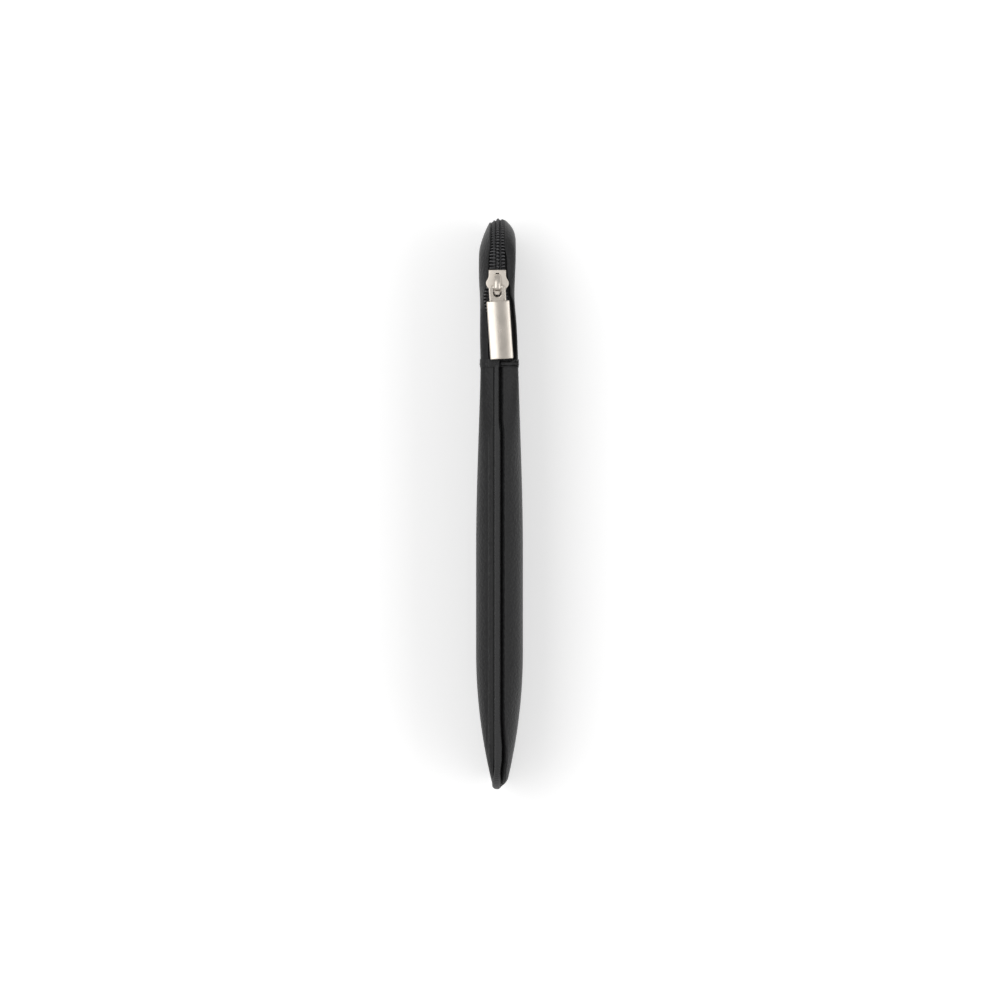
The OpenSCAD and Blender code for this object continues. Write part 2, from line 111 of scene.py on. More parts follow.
# the back's flank swells by the hem and near the top: height, place and half length
BACK_SWELLS = ((0.2 * MM, 49 * MM, 6 * MM), (0.25 * MM, 76 * MM, 6 * MM))

# how the panels are drawn in from the outline, and each side's dome: how deep it starts, over what
# depth it rises to the flank, and the power of its curve, along the zip and round the top
RIM_DEPTH = 5 * MM
SPINE_BOW = 0.1
SIDE_RUN, BOTTOM_RUN, SIDE_POWER = 8 * MM, 0.9 * MM, 2.2
ZIP_RUN = {FRONT: 2.8 * MM, BACK: 5 * MM}
TOP_RUN = {FRONT: 7 * MM, BACK: 9 * MM}
ZIP_POWER = {FRONT: 3.0, BACK: 2.2}
TOP_POWER = {FRONT: 2.6, BACK: 1.8}
BOUND_EDGE = {FRONT: 0.75 * MM, BACK: 0.95 * MM}
ZIP_EDGE = 1.2 * MM
TIP_EDGE, TIP_EDGE_SPAN = 0.6 * MM, (-82 * MM, -74 * MM)
TOP_EDGE = {FRONT: 0.7 * MM, BACK: 1.4 * MM}
TOP_START = {FRONT: 2.45 * MM, BACK: 2.4 * MM}
# the bound edge's curve turns into the zip's over this length, and by the hem the back is flatter
ZIP_BLEND = 30 * MM
HEM_SPAN, HEM_RUN, HEM_POWER = (63 * MM, 57 * MM), 3 * MM, 3.0
# the side's run shrinks by a power as the flank comes closer than a full reach, down to a least share
FULL_REACH, RUN_POWER, LEAST_SHARE = 6.8 * MM, 1.3, 0.2
# how far from the seam the dome starts beside the zip, how much of the gape it and each coil take up, and
# how far inside the flank it stays
FOLD_START = {FRONT: 3.4 * MM, BACK: 3.05 * MM}
FOLD_SHARE = 0.715
COIL_SHARE = {FRONT: 0.45, BACK: 1.0}
FLANK_CLEAR = 0.1 * MM
# the front leather stands back beside the pull, fading over a span, and is tucked in behind the slider:
# depth, place and half length
PULL_SIDE, PULL_SIDE_SPAN = 0.45 * MM, (60 * MM, 70 * MM)
TUCK = (0.6 * MM, 62.8 * MM, 1.6 * MM)

# the leather's slow waves: height, lengths along the case, across it and down it, the depths between
# which they set in, how far before the spine they fade, and each side's share of phase
WAVE_H, WAVE_LONG, WAVE_CROSS, WAVE_DOWN = 0.05 * MM, 5.3 * MM, 8.9 * MM, 6 * MM
WAVE_IN, WAVE_OUT, WAVE_PHASE = (0.3 * MM, 3 * MM), 4 * MM, 1.7
# the back's turned ridge and the creases beside it: height, distance from the seam and half width, and
# the spans over which they end towards the zip and towards the tip
RIDGE = ((0.16 * MM, 2.2 * MM, 0.3 * MM), (-0.06 * MM, 1.45 * MM, 0.16 * MM),
         (-0.16 * MM, 2.95 * MM, 0.2 * MM))
RIDGE_TOP, RIDGE_TIP = (24 * MM, 20 * MM), (-80 * MM, -70 * MM)

# the leather's edge: rows, depth and spacing of the leg inside the zip's fold, the angle at which the
# fold runs out into the dome, and the least distance at which points are kept apart
LEG_ROWS, LEG_DEPTH, LEG_STEP = 3, 1.2 * MM, 0.4 * MM
FOLD_TURN = math.radians(45)
PANEL_MERGE = 0.002 * MM
# where its inner layer ends: depth, distance from the seam, clearance inside the dome's start, and how
# many fold radii inside it beside the zip
INNER_DEPTH, INNER_X, INNER_CLEAR, INNER_FOLD = 3.2 * MM, 1.0 * MM, 0.3 * MM, 1.6
# how much of the groove beside the binding is left at the bound end, between which cosines it fades, and
# between which distances from the seam it steps aside and rises with the dome's edge
END_FLAT, END_SPAN = 0.15, (0.6, 0.98)
SHIFT_SPAN, RAISE_SPAN = (0.5 * MM, 1.4 * MM), (1.0 * MM, 1.6 * MM)

# the binding: its thickness, its half width on each side as it spreads round the corner and as it is
# folded tight along the near edge, and how deep its shoulders lie at the end and along the edge
BINDING_T = 0.42 * MM
BINDING_SPREAD = {FRONT: 0.95 * MM, BACK: 1.6 * MM}
BINDING_TIGHT = {FRONT: 0.76 * MM, BACK: 0.86 * MM}
SHOULDER_END, SHOULDER_SIDE = 1.2 * MM, 0.8 * MM
# between which sines it tightens, how far below the near edge that starts, how far it runs under the hem
# band, and the ribs: power of their cosine and how far they widen the tape
TIGHT_SPAN, BINDING_BLEND, BINDING_TUCK = (0.55, 0.98), 3 * MM, 0.6 * MM
RIB_POWER, RIB_BULGE = 0.7, 0.02
# how far apart the lines of its section lie in the map of its weave
WEAVE_ROW = 0.3 * MM

# a coil's loop, in mm from the seam and above its middle: the front's heads ride higher than the back's
COIL_UPPER = {
    FRONT: [(-0.18, 0.0), (-0.1, 0.5), (0.08, 0.69), (0.3, 0.58), (0.56, 0.05), (0.85, -0.08), (1.15, 0.15),
            (1.45, 0.52), (1.78, 0.69), (2.02, 0.5), (2.1, 0.0)],
    BACK: [(-0.03, -0.25), (0.08, -0.1), (0.35, -0.1), (0.6, 0.08), (0.85, 0.36), (1.2, 0.46),
           (1.58, 0.6), (1.88, 0.69), (2.08, 0.46), (2.13, 0.0)],
}
# the same for both sides below, and where the thread that sews them lies: from the seam and above the middle
COIL_LOWER = [(1.86, -0.48), (1.5, -0.68), (0.95, -0.68), (0.4, -0.68), (0.1, -0.55)]
THREAD_X = {FRONT: 0.8 * MM, BACK: 0.4 * MM}
THREAD_H = {FRONT: 0.2 * MM, BACK: 0.16 * MM}

# the hem band: its thickness, its clearance over the leather, how deep it lies at the crest, where the
# crest ends on each side, and how it dips over the binding's groove: depth, place and half width
BAND_T, BAND_CLEAR, BAND_DEPTH = 0.17 * MM, 0.02 * MM, 0.45 * MM
CREST_BACK, CREST_FRONT = (-3.0 * MM, -2.2 * MM), (4.6 * MM, 2.0 * MM)
BAND_DIP = (1.1 * MM, 0.85 * MM, 0.24 * MM)
# its upper edge is cut back over the front of the crest: depth, and the spans across and up over which the
# cut sets in; and its stitches: gap between them, distance from the lower edge, how deep they are drawn
# in, how far from the row's ends they stay, and how high above the table
BAND_CUT, BAND_CUT_SPAN, BAND_CUT_RISE = 1 * MM, (0.3 * MM, 1.2 * MM), (CASE_W - 4 * MM, CASE_W - 2 * MM)
STITCH_GAP, STITCH_EDGE, STITCH_SINK = 0.75 * MM, 0.9 * MM, 0.2 * MM
STITCH_START, STITCH_END, STITCH_FLOOR = 1.2 * MM, 1 * MM, 2 * MM

# the zip tape: how far it runs under the hem band, its gap beside the seam and under the coil, the depth
# and clearance of its leg inside the leather, and how deep its bend starts outside and inside
TAPE_TUCK, TAPE_GAP, TAPE_SEAT, TAPE_LEG, TAPE_CLEAR = 1.2 * MM, 0.35 * MM, 0.1 * MM, 3.9 * MM, 0.05 * MM
BEND_OUT, BEND_IN = 0.15 * MM, 0.25 * MM
# how much deeper the chain lies round the top, per square of the distance from its highest line
BOW, BOW_X = 0.24 / MM, 0.6 * MM
# over which share of a turn a coil's loop steps on to the next, and how its head is pressed wider: share,
# place and half length
COIL_STEP = (0.5, 0.9)
HEAD_PRESS = (0.15, -0.03 * MM, 0.3 * MM)
# the two-ply thread that sews a coil: radius, how far it rises and drops between loops, length of its
# twist, how far its plies stand out, and how far from the zip's ends it stops
SEWING_R, SEWING_BEAT, SEWING_TWIST, SEWING_PLY, SEWING_END = 0.13 * MM, 0.08 * MM, 1.1 * MM, 0.22, 0.2 * MM

# the slider's plates: thickness, half widths at the nose and at the wings, corner radius, points round
# them, how far from a hole their faces are crowned, and the least distance at which points are kept apart
PLATE_T = 0.8 * MM
UPPER_WIDTHS, LOWER_WIDTHS = (2.6 * MM, 3.4 * MM), (2.3 * MM, 2.8 * MM)
PLATE_CORNER, PLATE_POINTS = 0.7 * MM, 240
HOLE_SHARE, PLATE_MERGE = 0.12, 0.001 * MM
# the upper plate: height of its crown, how it falls away at its rear, its tongue under the pull's eye and
# the claw's hole: half width, half length and place before the slider's middle
PLATE_CROWN, REAR_FALL, REAR_FALL_SPAN = 0.1 * MM, 0.4 * MM, (REAR_END + 1.3 * MM, REAR_END + 0.6 * MM)
TONGUE, TONGUE_SPAN, TONGUE_END = 0.95 * MM, (1.0 * MM, 0.75 * MM), REAR_END + 0.3 * MM
CLAW_W, CLAW_L, CLAW_Y = 0.45 * MM, 0.76 * MM, SLIDER_Y + 2.32 * MM
# the diamond between the plates: half width and place of its rear, its shoulders and its nose
DIAMOND = ((0.5 * MM, REAR_END + 0.1 * MM), (0.8 * MM, SLIDER_Y - 2.1 * MM), (0.3 * MM, SLIDER_Y))
# the flanges under the upper plate: outline in mm from the slider's middle, the line along their middle,
# and how far they reach down
WALL = ((2.22, 4.1), (2.58, 4.1), (2.58, 2.0), (3.36, 0.6), (3.36, -0.3), (2.9, 0.5), (2.22, 2.0))
WALL_LINE = ((0.0, 3.1), (2.0, 2.4))
WALL_LOW = CASE_W - 1 * MM
# rounding of the upper plate's edges, the lower plate's and the hidden ones, and how far hidden ends
# run into the plates
UPPER_EDGE, LOWER_EDGE, HIDDEN_EDGE, LAP = 0.2 * MM, 0.22 * MM, 0.05 * MM, 0.1 * MM

# the cap's strap, in mm from the pull's hinge: front foot, over the bar and down through the eye; then its
# width at the foot and over the bar, how much it narrows in the eye, its crown, and its thickness
CAP_ROUTE = ((3.5, -0.6), (3.46, -0.3), (3.2, 0.0), (2.7, 0.3), (2.1, 0.6), (1.45, 0.83), (0.8, 0.96),
             (0.1, 1.0), (-0.45, 0.9), (-0.82, 0.45), (-0.88, 0.0), (-0.88, -0.6))
CAP_FOOT_W, CAP_W, CAP_NARROWING, CAP_CROWN = 1.8 * MM, 2.0 * MM, 0.25 * MM, 0.14 * MM
CAP_FOOT_T, CAP_END_T = 0.56 * MM, 0.43 * MM

# the pull: how far it is turned aside; its eye: middle, radius below and half width and height above; its
# bar: radius, chamfer and distance from the eye's middle; its neck: radius, thickness, rounding, height
# above the eye, overlap with the tab and power of its outline; and its tab, from the eye's middle
PULL_TURN = math.radians(3.9)
EYE_Y, EYE_R, EYE_W, EYE_TOP = SLIDER_Y - 2.76 * MM, 1.25 * MM, 1.1 * MM, 1.3 * MM
BAR_R, BAR_END_R, BAR_CHAMFER, BAR_OFF = 0.5 * MM, 0.4 * MM, 0.06 * MM, 1.75 * MM
NECK_R, NECK_T, NECK_EDGE = 2.5 * MM, 0.9 * MM, 0.26 * MM
NECK_TOP, NECK_LAP, NECK_POWER = 2.15 * MM, 0.6 * MM, 5
TAB_TOP, TAB_T, TAB_EDGE, TAB_CORNER, TAB_CROWN = -2.44 * MM, 1.3 * MM, 0.3 * MM, 0.45 * MM, 0.45 * MM

# the leather's turned edge beside the binding, on each side: distance from the seam and depth, in mm,
# from inside the case over the flange and through the groove to where the dome starts
FLANGE = ((0.05, 2.9), (0.05, 1.9), (0.05, 1.2), (0.05, 0.62), (0.14, 0.54), (0.25, 0.52), (0.34, 0.54),
          (0.42, 0.62), (0.45, 1.0))
BOUND_PROFILE = {
    FRONT: FLANGE + ((0.46, 1.7), (0.5, 2.3), (0.95, 2.6), (1.4, 2.3), (1.5, 1.8), (1.6, 1.42),
                     (1.8, 1.24), (2.15, 0.98), (2.6, 0.75)),
    BACK: FLANGE + ((0.47, 1.1), (0.55, 1.2), (0.68, 1.24), (0.82, 1.22), (0.9, 1.17), (0.97, 1.1),
                    (1.03, 1.05), (1.09, 1.0), (1.15, 0.95)),
}

# how the groove beside the binding wanders along the near edge: place and sideways step, in mm
GROOVE_WAY = ((-84, 0.0), (-81, 0.0), (-77.5, 0.5), (-73, 0.55), (-69, 0.25), (-64, 0.0), (21, 0.0),
              (25, -0.4))

# the view: width of the frame at the crest, its centre, a camera far above and half the floor's width
VIEW_W = 300 * MM
VIEW_CENTRE = (0.15 * MM, 1.08 * MM)
CAMERA_Z = 9.0
FLOOR_HALF = 3.0

# the light: a plain world, the floor's extra white, and two level softboxes: corners, height and radiance
WORLD = 0.52
FLOOR_GLOW = 0.3
LAMPS = (
    ("left_softbox", (-1.2, -0.5), (-0.17, 1.0), 1.2, 1.5),
    ("right_softbox", (0.48, -1.0), (1.9, 0.5), 1.2, 1.36),
)


def linear(code):
    """Linear RGB of an sRGB hex colour such as #2a2a2b."""
    srgb = [int(code[i:i + 2], 16) / 255 for i in (1, 3, 5)]
    return tuple(v / 12.92 if v <= 0.04045 else ((v + 0.055) / 1.055) ** 2.4 for v in srgb)


def length(name, default, description, low=0.0):
    """A length in metres that a user can change."""
    return FloatProperty(name=name, description=description, default=default, min=low, subtype="DISTANCE",
                         unit="LENGTH", precision=5)


def colour(name, code, description):
    """A colour that a user can change, given as sRGB hex."""
    return FloatVectorProperty(name=name, description=description, default=linear(code), min=0.0, max=1.0,
                               size=3, subtype="COLOR")


class PenCaseSizes(bpy.types.PropertyGroup):
    """Sizes of the case that the frame doesn't state by itself."""
    belly: length("Belly", 14.1 * MM, "Thickness at the middle of the body")
    mouth: length("Mouth", 10.9 * MM, "Thickness at the zip end")
    tip: length("Tip", 3.95 * MM, "Thickness at the bound end")
    taper: length("Taper", 41.3 * MM, "Length of the tapered bound end")
    lean: length("Lean", 0.75 * MM, "How far the middle leans aside by the slider")
    gape: length("Gape", 1.75 * MM, "How far each side of the chain stands open under the pull")
    pull_back: length("Pull back", 2.5 * MM, "How much further the front leather stands back by the hem")
    top_radius: length("Top corner radius", TOP_RADIUS, "Radius of the corners at the zip end")
    bottom_radius: length("Bottom corner radius", 10 * MM, "Radius of the corners at the bound end")
    leather: length("Leather", 0.75 * MM, "Thickness of the leather")
    fold_radius: length("Fold radius", 0.34 * MM, "Radius of the leather's fold beside the zip")
    binding_width: length("Binding width", 2.5 * MM, "Width of the edge binding")
    binding_depth: length("Binding depth", 1.55 * MM, "How far the binding reaches over the edge")
    rib_pitch: length("Rib pitch", 0.8 * MM, "Spacing of the binding's cross ribs")
    rib_height: length("Rib height", 0.07 * MM, "Height of the binding's cross ribs")
    coil_height: length("Coil height", 1.9 * MM, "Height of the coil")
    coil_pitch: length("Coil pitch", 1.0 * MM, "Spacing of the coil's loops")
    wire: length("Filament", 0.48 * MM, "Diameter of the coil's filament")
    tape: length("Tape", 0.4 * MM, "Thickness of the zip tape")
    stitch: length("Stitch", 2.2 * MM, "Length of one stitch")
    thread: length("Thread", 0.28 * MM, "Diameter of the sewing thread")
    tab_width: length("Tab width", 6.85 * MM, "Width of the pull's tab")
    tab_length: length("Tab length", 17.5 * MM, "Length of the pull's tab")


class PenCaseColours(bpy.types.PropertyGroup):
    """Colours of the case's materials."""
    leather: colour("Leather", "#19191a", "Dyed leather between its pores")
    # painted shade: the leather's colour deep in its grain's creases, where shade falls
    leather_crease_shade: colour("Leather pores", "#101011", "Dyed leather in its creases and pores")
    binding: colour("Binding", "#212122", "Ribbed binding tape")
    tape: colour("Zip tape", "#0d0d0e", "Woven zip tape")
    coil: colour("Coil", "#3e3e40", "Coil filament")
    thread: colour("Thread", "#2c2c2e", "Sewing thread")
    nickel: colour("Nickel", "#d8d0c6", "Satin nickel of the slider and pull")
    steel: colour("Steel", "#b4b2ae", "Spring steel")
    lining: colour("Lining", "#2b2b2e", "Lining cloth")
    board: colour("Board", "#8d8a84", "Bonded board under the leather")


Stations = namedtuple("Stations", "y z a s")


def sizes():
    """The sizes that the panel shows."""
    return bpy.context.scene.pen_case_sizes


def colours():
    """The colours that the panel shows."""
    return bpy.context.scene.pen_case_colours


# ---------------------------------------------------------------- shape of the case

def mix(a, b, k):
    """a where k is 0, b where k is 1."""
    return a + (b - a) * k


def smooth(low, high, v):
    """0 at low, 1 at high, and 3k^2 - 2k^3 between them."""
    k = np.clip((v - low) / (high - low), 0.0, 1.0)
    return k * k * (3.0 - 2.0 * k)


def bell(v, middle, spread):
    """A bump of height 1 at middle: e to the power of minus the squared distance, in spreads."""
    return np.exp(-(((v - middle) / spread) ** 2))


def bump(v, shape):
    """A bell at v of a shape: its height, middle and spread."""
    height, middle, spread = shape
    return height * bell(v, middle, spread)


def squarish(v, power):
    """The size of v to a power, with its sign: under 1 it squares off a circle's sine or cosine."""
    return np.sign(v) * np.abs(v) ** power


def lengths_along(points):
    """Distance along a path of points, from 0 at the first."""
    return np.concatenate([[0.0], np.cumsum(np.linalg.norm(np.diff(points, axis=0), axis=-1))])


def half_thickness(c, y):
    """Half the body's thickness: a parabola down to the tip, and an S-curve from belly to mouth."""
    start = c.taper - HALF_L
    fall = np.clip((start - y) / (c.taper - TAPER_TRIM), 0.0, 1.0) ** 2
    body = mix(c.belly, c.mouth, smooth(start + MOUTH_START, HALF_L - MOUTH_END, y)) / 2
    return np.where(y < start, mix(c.belly, c.tip, fall) / 2, body - bump(y, WAIST))


def reach(c, side, y):
    """How far a side's flank lies from the seam: the body leans to the back by the slider.

    Its front is drawn in a little towards the top and right down to the binding at the tip, by a parabola.
    """
    if side == FRONT:
        past = np.clip((TIP_DRAW_Y - y) / TIP_DRAW_RUN, 0.0, 1.0)
        drawn = TOP_DRAW * smooth(*TOP_DRAW_SPAN, y) + TIP_DRAW * past ** 2
    else:
        drawn = -sum(bump(y, swell) for swell in BACK_SWELLS)
    return half_thickness(c, y) - side * (c.lean * bell(y, SLIDER_Y, LEAN_RUN) + SEAM_X) - drawn


def zipped(y):
    """1 where the edge holds the zip, 0 where it holds the binding."""
    return np.clip((y - BAND_LOW) / (BAND_TOP - BAND_LOW), 0.0, 1.0)


def open_share(side, y):
    """How open the near edge is: an S-curve up to 1 below the slider and another down to its throat."""
    close_y = BACK_CLOSE_Y if side == BACK else CHAIN_END
    return np.where(y > GAPE_Y, 1 - smooth(GAPE_Y, JOIN_Y, y), smooth(close_y, GAPE_Y, y))


def at_top(y):
    """1 where the zip runs round the top, 0 along the sides."""
    return smooth(HALF_L - TOP_RADIUS, HALF_L - TOP_RADIUS / 2, y)


def groove_shift(st, side):
    """How far the groove beside the binding steps aside: on the near edge of the front only."""
    places, steps = np.array(GROOVE_WAY).T * MM
    near = (st.z > HALF_W) & (side == FRONT)
    return np.where(near, np.interp(st.y, places, steps), 0.0)


def outline(c, side_step, arc_step):
    """Stations round the case from the bottom's middle up the near edge: place, outward angle and length.

    Straight sides joined by quarter circles; the far half mirrors the near half about the middle height.
    """
    rb, rt = c.bottom_radius, c.top_radius

    def line(a, b, step):
        return np.linspace(a, b, max(int(abs(b - a) / step), 2), endpoint=False)

    def pair(y, z, a):
        return np.broadcast_arrays(np.asarray(y, float), np.asarray(z, float), np.asarray(a, float))

    turn = line(math.pi, math.pi / 2, arc_step / rb)
    top = line(math.pi / 2, 0.0, arc_step / rt)
    near = [
        pair(-HALF_L, line(HALF_W, CASE_W - rb, side_step * 2), math.pi),
        pair(rb - HALF_L + rb * np.cos(turn), CASE_W - rb + rb * np.sin(turn), turn),
        pair(line(rb - HALF_L, HALF_L - rt, side_step), CASE_W, math.pi / 2),
        pair(HALF_L - rt + rt * np.cos(top), CASE_W - rt + rt * np.sin(top), top),
        pair(HALF_L, line(CASE_W - rt, HALF_W, side_step * 2), 0.0),
    ]
    y, z, a = (np.concatenate([p[i] for p in near]) for i in range(3))
    y = np.concatenate([y, [HALF_L], y[:0:-1]])
    z = np.concatenate([z, [HALF_W], CASE_W - z[:0:-1]])
    a = np.concatenate([a, [0.0], -a[:0:-1]])
    return Stations(y, z, a, lengths_along(np.column_stack([y, z])))


def inset(st, d):
    """Where stations land at depth d: square to the outline down to the rim depth, then towards the spine."""
    near = np.minimum(d, RIM_DEPTH)
    y = st.y - near * np.cos(st.a)
    z = st.z - near * np.sin(st.a)
    end = HALF_L - HALF_W - SPINE_BOW * np.abs(z - HALF_W)
    k = np.clip((d - RIM_DEPTH) / (HALF_W - RIM_DEPTH), 0.0, 1.0)
    return mix(y, np.clip(y, -end, end), k), mix(z, HALF_W, k)


def on_near_edge(st):
    """Whether each station lies on the straight of the near edge."""
    return st.z > CASE_W - HAIR


def near_open(c, side, st):
    """How far the zip stands open at each station: only the near edge is open."""
    near = on_near_edge(st) & (st.y > BAND_TOP)
    return np.where(near, c.gape * open_share(side, st.y), 0.0)


def stand_back(c, side, st):
    """How much further the front leather stands back from the zip: most by the hem, least by the slider."""
    by_hem = c.pull_back * (1 - smooth(STOP_TOP, GAPE_Y, st.y))
    by_pull = PULL_SIDE * (1 - smooth(*PULL_SIDE_SPAN, st.y))
    return np.where(on_near_edge(st) & (side == FRONT), by_hem + by_pull - bump(st.y, TUCK), 0.0)


def edge_depth(side, st):
    """Depth below the outline at which the dome starts: shallower where the zip runs round the top."""
    bound = mix(TIP_EDGE, BOUND_EDGE[side], smooth(*TIP_EDGE_SPAN, st.y))
    return mix(bound, mix(ZIP_EDGE, TOP_EDGE[side], at_top(st.y)), zipped(st.y))


def dome_start(c, side, st, t=0.0):
    """How far from the seam the leather's dome starts: beside the binding, or beside the zip's fold.

    It stays a little inside the flank, so that the leather always rises from its edge.
    """
    bound = BOUND_PROFILE[side][-1][0] * MM + groove_shift(st, side)
    fold = FOLD_START[side] + FOLD_SHARE * near_open(c, side, st) + stand_back(c, side, st)
    fold = mix(fold, TOP_START[side], at_top(st.y))
    flank = reach(c, side, inset(st, edge_depth(side, st))[0]) - t
    return np.minimum(mix(bound, fold, zipped(st.y)), flank - FLANK_CLEAR)


def run_and_power(c, side, st):
    """Depth over which the dome rises to its flank, and the power of its curve.

    The taper's run shrinks with the body. The back is flatter by the hem than by the slider.
    """
    zip_share, across = smooth(BAND_LOW - ZIP_BLEND, BAND_TOP, st.y), np.sin(st.a) ** 2
    flat = smooth(*HEM_SPAN, st.y) * (side == BACK)
    zip_run, zip_power = mix(ZIP_RUN[side], HEM_RUN, flat), mix(ZIP_POWER[side], HEM_POWER, flat)
    side_run = SIDE_RUN * np.clip(reach(c, side, st.y) / FULL_REACH, LEAST_SHARE, 1.0) ** RUN_POWER
    top = np.cos(st.a) > 0
    run = mix(np.where(top, TOP_RUN[side], BOTTOM_RUN), mix(side_run, zip_run, zip_share), across)
    power = mix(np.where(top, TOP_POWER[side], SIDE_POWER), mix(SIDE_POWER, zip_power, zip_share), across)
    return run, power


def dome(c, side, st, d, t):
    """Distance from the seam at depth d and t under the outside: 1 - (1 - k)^power from edge to flank."""
    run, power = run_and_power(c, side, st)
    k = np.clip((d - edge_depth(side, st) - t) / run, 0.0, 1.0)
    return mix(dome_start(c, side, st, t), reach(c, side, inset(st, d)[0]) - t, 1 - (1 - k) ** power)


def placed(side, st, d, x):
    """Points at depth d and distance x from the seam."""
    y, z = inset(st, d)
    return np.stack([SEAM_X + side * x, y, z], axis=-1)


# ---------------------------------------------------------------- meshes

def new_object(name, data, body):
    """A finished piece that rides on a body."""
    piece = bpy.data.objects.new(name, data)
    bpy.context.scene.collection.objects.link(piece)
    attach(piece, body)
    return piece


def surface(name, points, wrap_u=False, wrap_v=False, uv=None, skip=(), cap_ends=False, merge=0.0):
    """A mesh over a grid of points, rows by columns, with quads between neighbours.

    wrap_u joins the last column to the first and wrap_v the last row to the first. Rows in skip aren't joined
    to the next. uv holds a map of the same shape, in metres. cap_ends closes the first and last row.
    """
    rows, columns = points.shape[:2]
    index = np.arange(rows * columns).reshape(rows, columns)
    down = np.arange(rows if wrap_v else rows - 1)
    down = down[~np.isin(down, skip)]
    across = np.arange(columns if wrap_u else columns - 1)
    r, q = np.meshgrid(down, across, indexing="ij")
    r2, q2 = (r + 1) % rows, (q + 1) % columns
    quads = np.stack([index[r, q], index[r, q2], index[r2, q2], index[r2, q]], axis=-1).reshape(-1, 4)
    faces = quads.tolist()
    if cap_ends:
        faces += [index[0, ::-1].tolist(), index[-1].tolist()]
    mesh = bpy.data.meshes.new(name)
    mesh.from_pydata(points.reshape(-1, 3), [], faces)
    if uv is not None:
        layer = mesh.uv_layers.new(name="weave")
        corner = np.empty(len(mesh.loops), np.int64)
        mesh.loops.foreach_get("vertex_index", corner)
        layer.data.foreach_set("uv", uv.reshape(-1, 2)[corner].astype(np.float32).ravel())
    tidy_mesh(mesh, merge)
    return mesh


def tidy_mesh(mesh, merge=0.0):
    """Merges doubles, turns the faces outwards and shades the mesh smooth."""
    work = bmesh.new()
    work.from_mesh(mesh)
    if merge:
        bmesh.ops.remove_doubles(work, verts=work.verts, dist=merge)
    bmesh.ops.recalc_face_normals(work, faces=work.faces)
    work.to_mesh(mesh)
    work.free()
    mesh.shade_smooth()
    mesh.update()


def joined(name, parts):
    """One mesh of several, each left as its own closed shell."""
    work = bmesh.new()
    for part in parts:
        work.from_mesh(part)
        bpy.data.meshes.remove(part)
    mesh = bpy.data.meshes.new(name)
    work.to_mesh(mesh)
    work.free()
    mesh.shade_smooth()
    return mesh


def frames_along(path, closed=False):
    """Unit tangents of a path, by central differences."""
    if closed:
        step = np.roll(path, -1, 0) - np.roll(path, 1, 0)
    else:
        step = np.gradient(path, axis=0)
    return step / np.linalg.norm(step, axis=-1, keepdims=True)


# ---------------------------------------------------------------- materials

def add(tree, kind, inputs=None, **settings):
    """A node of that kind with its settings; inputs are values or the outputs that feed them."""
    node = tree.nodes.new(kind)
    for name, value in settings.items():
        setattr(node, name, value)
    for key, value in (inputs or {}).items():
        if isinstance(value, bpy.types.NodeSocket):
            tree.links.new(value, node.inputs[key])
        else:
            node.inputs[key].default_value = value
    return node


def rgba(code_or_rgb):
    """A colour with alpha 1, from hex or from linear RGB."""
    rgb = linear(code_or_rgb) if isinstance(code_or_rgb, str) else tuple(code_or_rgb)
    return (*rgb, 1.0)


def new_material(name):
    """An empty material and its tree."""
    material = bpy.data.materials.new(name)
    material.use_nodes = True
    material.node_tree.nodes.clear()
    return material, material.node_tree


def finish_material(tree, inputs):
    """The surface shader and the output."""
    shader = add(tree, "ShaderNodeBsdfPrincipled", inputs)
    add(tree, "ShaderNodeOutputMaterial", {"Surface": shader.outputs[0]})


def dress(piece, material):
    """Gives a piece its only material."""
    piece.data.materials.clear()
    piece.data.materials.append(material)


def leather_material(name, tone, crease_shade):
    """Drum-dyed leather, embossed with a fine pebble grain: soft sheen, with painted shade in its creases
    that a slow noise makes patchy.
    """
    grain, crease, cloud = 0.8 * MM, 2.6 * MM, 9 * MM
    material, tree = new_material(name)
    place = add(tree, "ShaderNodeTexCoord").outputs["Object"]
    warp = add(tree, "ShaderNodeTexNoise", {"Vector": place, "Scale": 1 / crease, "Detail": 2.0})
    bent = add(tree, "ShaderNodeVectorMath", {0: warp.outputs["Color"], "Scale": 0.7 * MM}, operation="SCALE")
    seat = add(tree, "ShaderNodeVectorMath", {0: place, 1: bent.outputs[0]}, operation="ADD")
    pebble = add(tree, "ShaderNodeTexVoronoi", {"Vector": seat.outputs[0], "Scale": 1 / grain},
                 feature="SMOOTH_F1")
    pebble.inputs["Smoothness"].default_value = 0.5
    lumps = add(tree, "ShaderNodeTexNoise", {"Vector": place, "Scale": 1 / cloud, "Detail": 3.0})
    fine = add(tree, "ShaderNodeTexNoise", {"Vector": place, "Scale": 1 / (0.35 * MM), "Detail": 3.0})
    # painted shade: the colour darkens with the depth of the grain's creases, patchy by the slow lumps noise
    depth = add(tree, "ShaderNodeMath", {0: pebble.outputs["Distance"], 1: 1.7}, operation="MULTIPLY")
    crease_shade_mix = add(tree, "ShaderNodeMath", {0: depth.outputs[0], 1: lumps.outputs[0]}, operation="MULTIPLY")
    shade = add(tree, "ShaderNodeMix", {0: crease_shade_mix.outputs[0], 6: rgba(tone), 7: rgba(crease_shade)}, data_type="RGBA")
    gloss = add(tree, "ShaderNodeMapRange", {"Value": fine.outputs[0], "To Min": 0.4, "To Max": 0.56})
    relief = add(tree, "ShaderNodeMath", {0: fine.outputs[0], 1: 0.35, 2: pebble.outputs["Distance"]},
                 operation="MULTIPLY_ADD")
    dents = add(tree, "ShaderNodeBump", {"Height": relief.outputs[0], "Distance": 0.12 * MM, "Strength": 0.9},
               invert=True)
    finish_material(tree, {"Base Color": shade.outputs[2], "Roughness": gloss.outputs[0],
                           "Specular IOR Level": 0.35, "Normal": dents.outputs[0], "Sheen Weight": 0.03,
                           "Sheen Roughness": 0.4})
    return material


